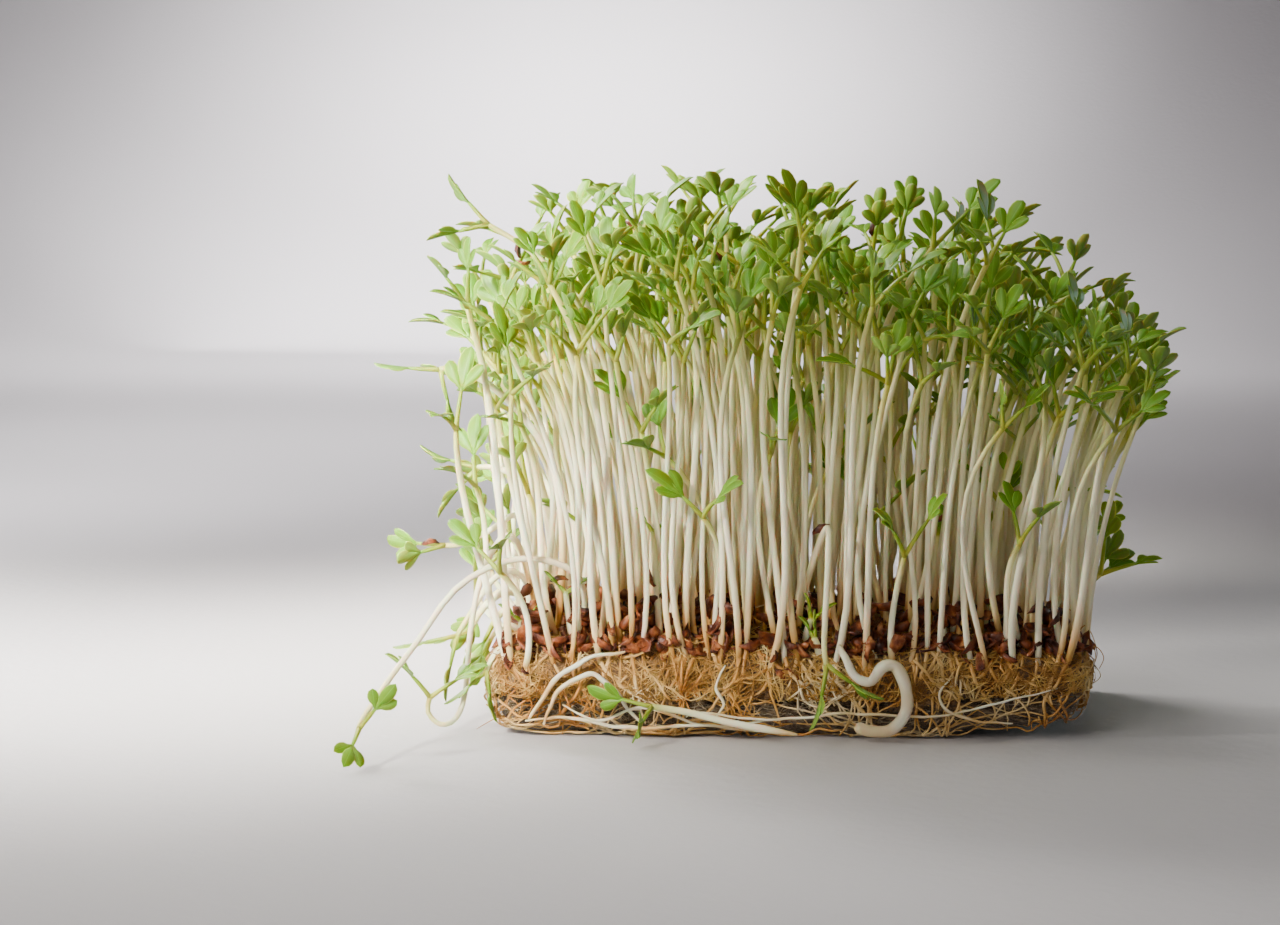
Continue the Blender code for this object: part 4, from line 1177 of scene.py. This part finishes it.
def draw_filling(rng, name, root, out):
    """One free draw of a single seedling that roots at a place on the felt."""
    sideways = 0.6 * LEAN_LEFT if root.x < 0 else LEAN_RIGHT
    drop = draw_drop(rng, FILLING_DROPS) + max(0.0, SHOULDER_X - root.x / MM) * SHOULDER_SLOPE
    height = canopy_height(root.x) - drop * MM - root.z
    share = min(1.0, height / SHORT_STEM)
    top = root + out * 3 * MM
    top.x += share * (sideways * root.x / (MAT_LENGTH / 2) + rng.gauss(0, FILLING_SCATTER))
    top.y += share * (LEAN_BACK_AND_FRONT * root.y / (MAT_DEPTH / 2) + rng.gauss(0, FILLING_SCATTER))
    top.z = root.z + height
    lean = Vector((top.x - root.x, top.y - root.y, 0))
    kink = Vector((rng.gauss(0, 3.6), rng.gauss(0, 2.4), 0)) * MM
    bow = Vector((rng.gauss(0, 3.6), rng.gauss(0, 2.4), 0)) * MM
    low = root + kink + out * 1.5 * MM + UP * height * 0.3
    high = top - lean * FILLING_LATE_LEAN + bow - UP * height * 0.32
    leaves = draw_leaves(rng, top, high, (10, 48), (3.4, 7.5), (0.8, 1.15), (0.0, 0.03))
    return grown_seedling(name, [root, low, high, top], leaves)


def inside_reach(seedling):
    """Whether a seedling keeps to the solids' box, give or take a little, and to its left limit."""
    for centre, radius in seedling["balls"]:
        if centre.x < REACH_LEFT:
            return False
        for low, high, value in zip(cad_box[0], cad_box[1], centre):
            if not low - REACH_PAST_CAD < value < high + REACH_PAST_CAD:
                return False
    return True


feet = [seedling["stem"][0] for seedling in planted]
groups = {}
grown = 0
for attempt in range(TRIES):
    if grown == FILLING:
        break
    x = filling.uniform(-37, 35) * MM
    y = filling.uniform(-1, 1) * (MAT_DEPTH / 2 - 1 * MM)
    start = Vector((x, y, MAT_HEIGHT))
    if filling.random() < EDGE_SHARE:
        start = free_start(filling, EDGE_LOW, EDGE_HIGH)
    out = rounded(start)[1]
    root = block_point(start, GAP + 0.4 * FELT_THICKNESS)
    if any((root - foot).length < FOOT_DISTANCE for foot in feet):
        continue
    out = Vector((out.x, out.y, 0))
    for effort in range(DRAWS):
        seedling = draw_filling(filling, f"filling_{attempt}", root, out)
        if inside_reach(seedling) and is_clear(seedling, -MAY_TOUCH):
            planted.append(plant(seedling))
            feet.append(root)
            zone = "left" if root.x < -THIRD else "right" if root.x > THIRD else "middle"
            zone += "_front" if root.y < 0 else "_back"
            groups.setdefault(zone, []).append(seedling)
            grown += 1
            break
for zone, members in groups.items():
    bm = new_stand()
    for seedling in members:
        add_seedling(bm, seedling, fine)
    add_stand("filling_seedlings_" + zone, bm)

# The anchoring roots of the outermost seedlings: each goes on from a stem's tan foot, over the edge
# of the felt and down its side, and sends off a few side roots.

ANCHOR_REACH = 7 * MM
ANCHOR_TAPER = 0.75
STEM_STEPS = 60
rng = random.Random(24)
routes = []
twigs = []
for seedling in planted:
    foot = seedling["stem"][0]
    room_x, room_y = MAT_LENGTH / 2 - abs(foot.x), MAT_DEPTH / 2 - abs(foot.y)
    if foot.z < LYING_FOOT or min(room_x, room_y) > ANCHOR_REACH:
        continue
    way = Vector((math.copysign(1, foot.x), 0, 0))
    if room_x >= room_y:
        way = Vector((0, math.copysign(1, foot.y), 0))
    steps = rng.randint(6, 12) + round(max(0, min(room_x, room_y)) / MM)
    heights = [GAP + (0.95 + rng.uniform(-0.35, 0.5)) * MM for k in range(steps)]
    heading = way + Vector((rng.gauss(0, 0.3), rng.gauss(0, 0.3), 0))
    start = Vector((foot.x, foot.y, MAT_HEIGHT if abs(foot.z - FELT_TOP) < 2 * MM else foot.z))
    main = tangent_walk(rng, start, heading, steps, 1.05 * MM, 0.22, heights, 1.4 * MM)
    stem = stem_points(seedling["stem"], STEM_STEPS)
    thick = rng.uniform(0.24, 0.44) * MM
    routes.append(tapered(through([stem[4], stem[2]] + main[1:], 2 * steps), thick, ANCHOR_TAPER))
    for branch in range(rng.randint(1, 3)):
        joint = main[rng.randint(2, steps - 2)]
        steps_off = rng.randint(4, 8)
        heights = [GAP + (0.8 + rng.uniform(-0.2, 0.7)) * MM for k in range(steps_off)]
        heading = Vector((rng.uniform(-1, 1), rng.uniform(-1, 1), rng.uniform(-1.2, 0.2)))
        twig = tangent_walk(rng, joint, heading, steps_off, 0.9 * MM, 0.35, heights, 1.4 * MM)
        twig[0] = joint
        slim = rng.uniform(0.06, 0.13) * MM
        twigs.append((through(twig, 2 * steps_off), [slim] * 2 * steps_off))
strands("anchoring_roots", routes, THICK_ROOT, "root_felt", 1)
strands("anchoring_side_roots", twigs, THICK_ROOT, "root_felt")

# The loose threads: thin orange roots that hang between the feet of neighbouring stems, a little
# above the felt.

THREADS = 170
THREAD_POINTS = 8
routes = []
for index in range(THREADS):
    first = rng.choice(planted)
    near = [s for s in planted if 2 * MM < (s["stem"][0] - first["stem"][0]).length < 7 * MM]
    if not near or first["stem"][0].z < LYING_FOOT:
        continue
    start = stem_points(first["stem"], STEM_STEPS)[rng.randint(1, 6)]
    end = stem_points(rng.choice(near)["stem"], STEM_STEPS)[rng.randint(0, 5)]
    sag = Vector((rng.gauss(0, 0.8), rng.gauss(0, 0.8), -rng.uniform(0.2, 1.6))) * MM
    points = through([start, (start + end) / 2 + sag, end], THREAD_POINTS)
    routes.append((points, [rng.uniform(0.05, 0.11) * MM] * THREAD_POINTS))
strands("hanging_threads", routes, THICK_ROOT, "root_felt")

# The empty seed coats: small glossy red-brown cups, split along one side, in clumps between the
# stems, and single ones on stems, on leaves and on the felt.

CLUMPS = 7
HUSKS_IN_CLUMP = 4
HUSK_OUT = 1.15 * MM
CRUMPLED_WAYS = 4
SINGLE_HUSKS = 360
FOOT_HUSK_SHARE = 0.8
FACE_HUSK = 3.4 * MM

SEED_COAT, tree, shader = new_finish("seed_coat", (0.16, 0.04, 0.015), 0.38)
shader.inputs["Specular IOR Level"].default_value = 0.4
mottle(tree, shader, 500.0, 3.0, [
    (0.36, (0.035, 0.006, 0.002)), (0.48, (0.12, 0.024, 0.006)), (0.6, (0.26, 0.066, 0.016)),
    (0.72, (0.5, 0.21, 0.07)),
])
pits = add_node(tree, "ShaderNodeTexVoronoi", Vector=object_place(tree), Scale=5000.0)
bump(tree, shader, pits.outputs["Distance"], 0.0001, 0.5)

# A seed coat's shape is a ball whose upper half is pressed in, which leaves a cup with a wall, then
# crumpled in four ways
HUSK_SHAPES = []
for kind in range(CRUMPLED_WAYS):
    bm = bmesh.new()
    bmesh.ops.create_uvsphere(bm, u_segments=8, v_segments=5, radius=1)
    for vert in bm.verts:
        x, y, z = vert.co
        if z > 0:
            vert.co = Vector((0.86 * x, 0.86 * y, -0.62 * z))
        vert.co.z += (0.2 + 0.15 * kind) * x * x
        vert.co += noise.noise_vector(vert.co * 1.7 + Vector((5 * kind, 0, 0))) * 0.42
    HUSK_SHAPES.append(template(f"husk_shape_{kind}", bm))


def add_husk(bm, place, length, turn):
    """A seed coat of some length at a place, turned."""
    husk = fine.choice(HUSK_SHAPES).copy()
    size = Vector((length / 2, length * 0.25, length * 0.27))
    husk.transform(Matrix.LocRotScale(place, turn, size))
    bm.from_mesh(husk)
    bpy.data.meshes.remove(husk)


def tumble(tilt):
    """A turn about the upright axis, any way, after a tilt of some spread about the x axis."""
    around = Matrix.Rotation(fine.uniform(0, math.tau), 3, "Z")
    return around @ Matrix.Rotation(fine.gauss(0, tilt), 3, "X")


def drop_husk(bm, x, y, lift, tilt, lengths, roll):
    """A seed coat that has dropped on the felt, some millimetres above it."""
    place = block_point(Vector((x, y, MAT_HEIGHT)), GAP + FELT_THICKNESS + lift * MM)
    turn = tumble(tilt)
    length = fine.uniform(*lengths) * MM
    add_husk(bm, place, length, turn @ Matrix.Rotation(fine.gauss(0, roll), 3, "Y"))


for number in range(CLUMPS):
    name = f"seed_coats_{number + 1}"
    low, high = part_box(name)
    middle = (Vector(low) + Vector(high)) / 2
    bm = bmesh.new()
    for husk in range(HUSKS_IN_CLUMP + 1):
        turn = math.tau * husk / HUSKS_IN_CLUMP + fine.uniform(-0.4, 0.4)
        reach = HUSK_OUT if husk else 0.0
        lift = fine.uniform(-0.3, 0.4) * MM
        place = middle + Vector((reach * math.cos(turn), reach * math.sin(turn), lift))
        tilt = Matrix.Rotation(fine.uniform(-0.5, 0.5), 3, "X")
        tilt = tilt @ Matrix.Rotation(fine.uniform(-0.4, 0.4), 3, "Y")
        add_husk(bm, place, fine.uniform(2.4, 2.9) * MM, Matrix.Rotation(turn + 0.6, 3, "Z") @ tilt)
    bmesh.ops.recalc_face_normals(bm, faces=bm.faces)
    add_piece(name + "_fine", bm, SEED_COAT, "seed_coat", name)

# The middles of the heaps between the feet of the front stems, the row of small heaps on the felt's
# front shoulder, and the places and heights of the single coats on the front face
HEAPS = [
    (-35.6, -21.5), (-28.0, -20.5), (-19.6, -20.5), (-9.0, -22.5), (0.5, -20.5), (10.4, -21.5),
    (19.8, -21.5), (28.5, -19.5), (-33.0, -13.0), (-14.0, -17.0), (15.0, -16.0), (34.5, -21.5),
    (5.0, -14.0), (-24.0, -15.0),
]
HEAP_LAYERS = 9
SHOULDER_HEAPS = 19
SHOULDER_LAYERS = 5
SHOULDER_Y = -24.2
FACE_HUSKS = [(-0.2, 8.7), (31.5, 11.4)]
bm = bmesh.new()
for index in range(SINGLE_HUSKS):
    x = fine.uniform(-1, 1) * (MAT_LENGTH / 2 - 1 * MM)
    y = fine.uniform(-1, 1) * (MAT_DEPTH / 2 - 1 * MM)
    drop_husk(bm, x, y, fine.uniform(0.2, 2.2), 0.7, (2.4, 3.4), 0.6)
for x, y in HEAPS:
    for layer in range(HEAP_LAYERS):
        near_x, near_y = (x + fine.gauss(0, 1.3)) * MM, (y + fine.gauss(0, 0.9)) * MM
        drop_husk(bm, near_x, near_y, 0.3 + 0.65 * layer, 0.8, (3.2, 4.8), 0.8)
for number in range(SHOULDER_HEAPS):
    for layer in range(SHOULDER_LAYERS):
        x = (-37 + 73 * number / (SHOULDER_HEAPS - 1) + fine.gauss(0, 1.4)) * MM
        y = (SHOULDER_Y + fine.gauss(0, 0.5)) * MM
        drop_husk(bm, x, y, 0.3 + 0.4 * layer, 0.8, (3.0, 4.6), 0.8)
for x, z in FACE_HUSKS:
    place = block_point(Vector((x * MM, -MAT_DEPTH / 2, z * MM)), GAP + FELT_THICKNESS + 0.5 * MM)
    turn = Matrix.Rotation(fine.uniform(0, 1), 3, "Y") @ Matrix.Rotation(math.pi / 2, 3, "X")
    add_husk(bm, place, FACE_HUSK, turn)
for seedling in planted:
    foot = seedling["stem"][0]
    if foot.z > LYING_FOOT and fine.random() < FOOT_HUSK_SHARE:
        spot = stem_points(seedling["stem"], STEM_STEPS)[fine.randint(2, 6)]
        way = fine.uniform(0, math.tau)
        place = spot + Vector((math.cos(way), math.sin(way), 0)) * MM
        turn = Matrix.Rotation(way, 3, "Z") @ Matrix.Rotation(fine.gauss(0.9, 0.6), 3, "Y")
        length = fine.uniform(2.5, 3.6) * MM
        add_husk(bm, place, length, turn @ Matrix.Rotation(fine.gauss(0, 0.8), 3, "X"))
bmesh.ops.recalc_face_normals(bm, faces=bm.faces)
add_piece("loose_seed_coats", bm, SEED_COAT, "seed_coat")

# The seed coats that rode up with the seedlings: the same small cups, each stuck by its dried jelly
# to the leaf or stem nearest its place.

RIDING_COATS = [
    (-38.2, -12.0, 66.6), (-37.6, -12.0, 65.0), (-22.7, -10.0, 68.7), (-10.4, -10.0, 65.9),
    (11.2, -5.0, 72.1), (9.5, -14.0, 61.1), (8.6, -14.0, 60.2), (34.9, -12.0, 45.1),
    (3.9, -24.0, 29.1), (8.3, -24.0, 27.5), (-51.0, -13.0, 27.1), (21.0, -18.0, 30.3),
    (32.8, -18.0, 25.1), (-31.0, -20.0, 21.0), (-19.2, -22.0, 21.8), (24.0, 22.0, 60.0),
    (-8.0, 24.0, 64.0), (-26.0, 20.0, 58.0), (38.0, 8.0, 52.0), (12.0, 20.0, 30.0),
]
ball_middles = [ball[0] for seedling in planted for ball in seedling["balls"]]
bm = bmesh.new()
for place in RIDING_COATS:
    target = Vector(place) * MM
    nearest = min(ball_middles, key=lambda middle: (middle - target).length)
    way = (target - nearest).normalized()
    turn = Matrix.Rotation(fine.uniform(0, math.tau), 3, "Y")
    turn = turn @ Matrix.Rotation(fine.gauss(0, 0.6), 3, "X")
    add_husk(bm, nearest + way * 0.75 * MM, fine.uniform(2.6, 3.4) * MM, turn)
bmesh.ops.recalc_face_normals(bm, faces=bm.faces)
add_piece("riding_seed_coats", bm, SEED_COAT, "seed_coat")

boxes = {"cad": cad_box, "visual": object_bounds()}
boxes = {name: [list(corner) for corner in box] for name, box in boxes.items()}
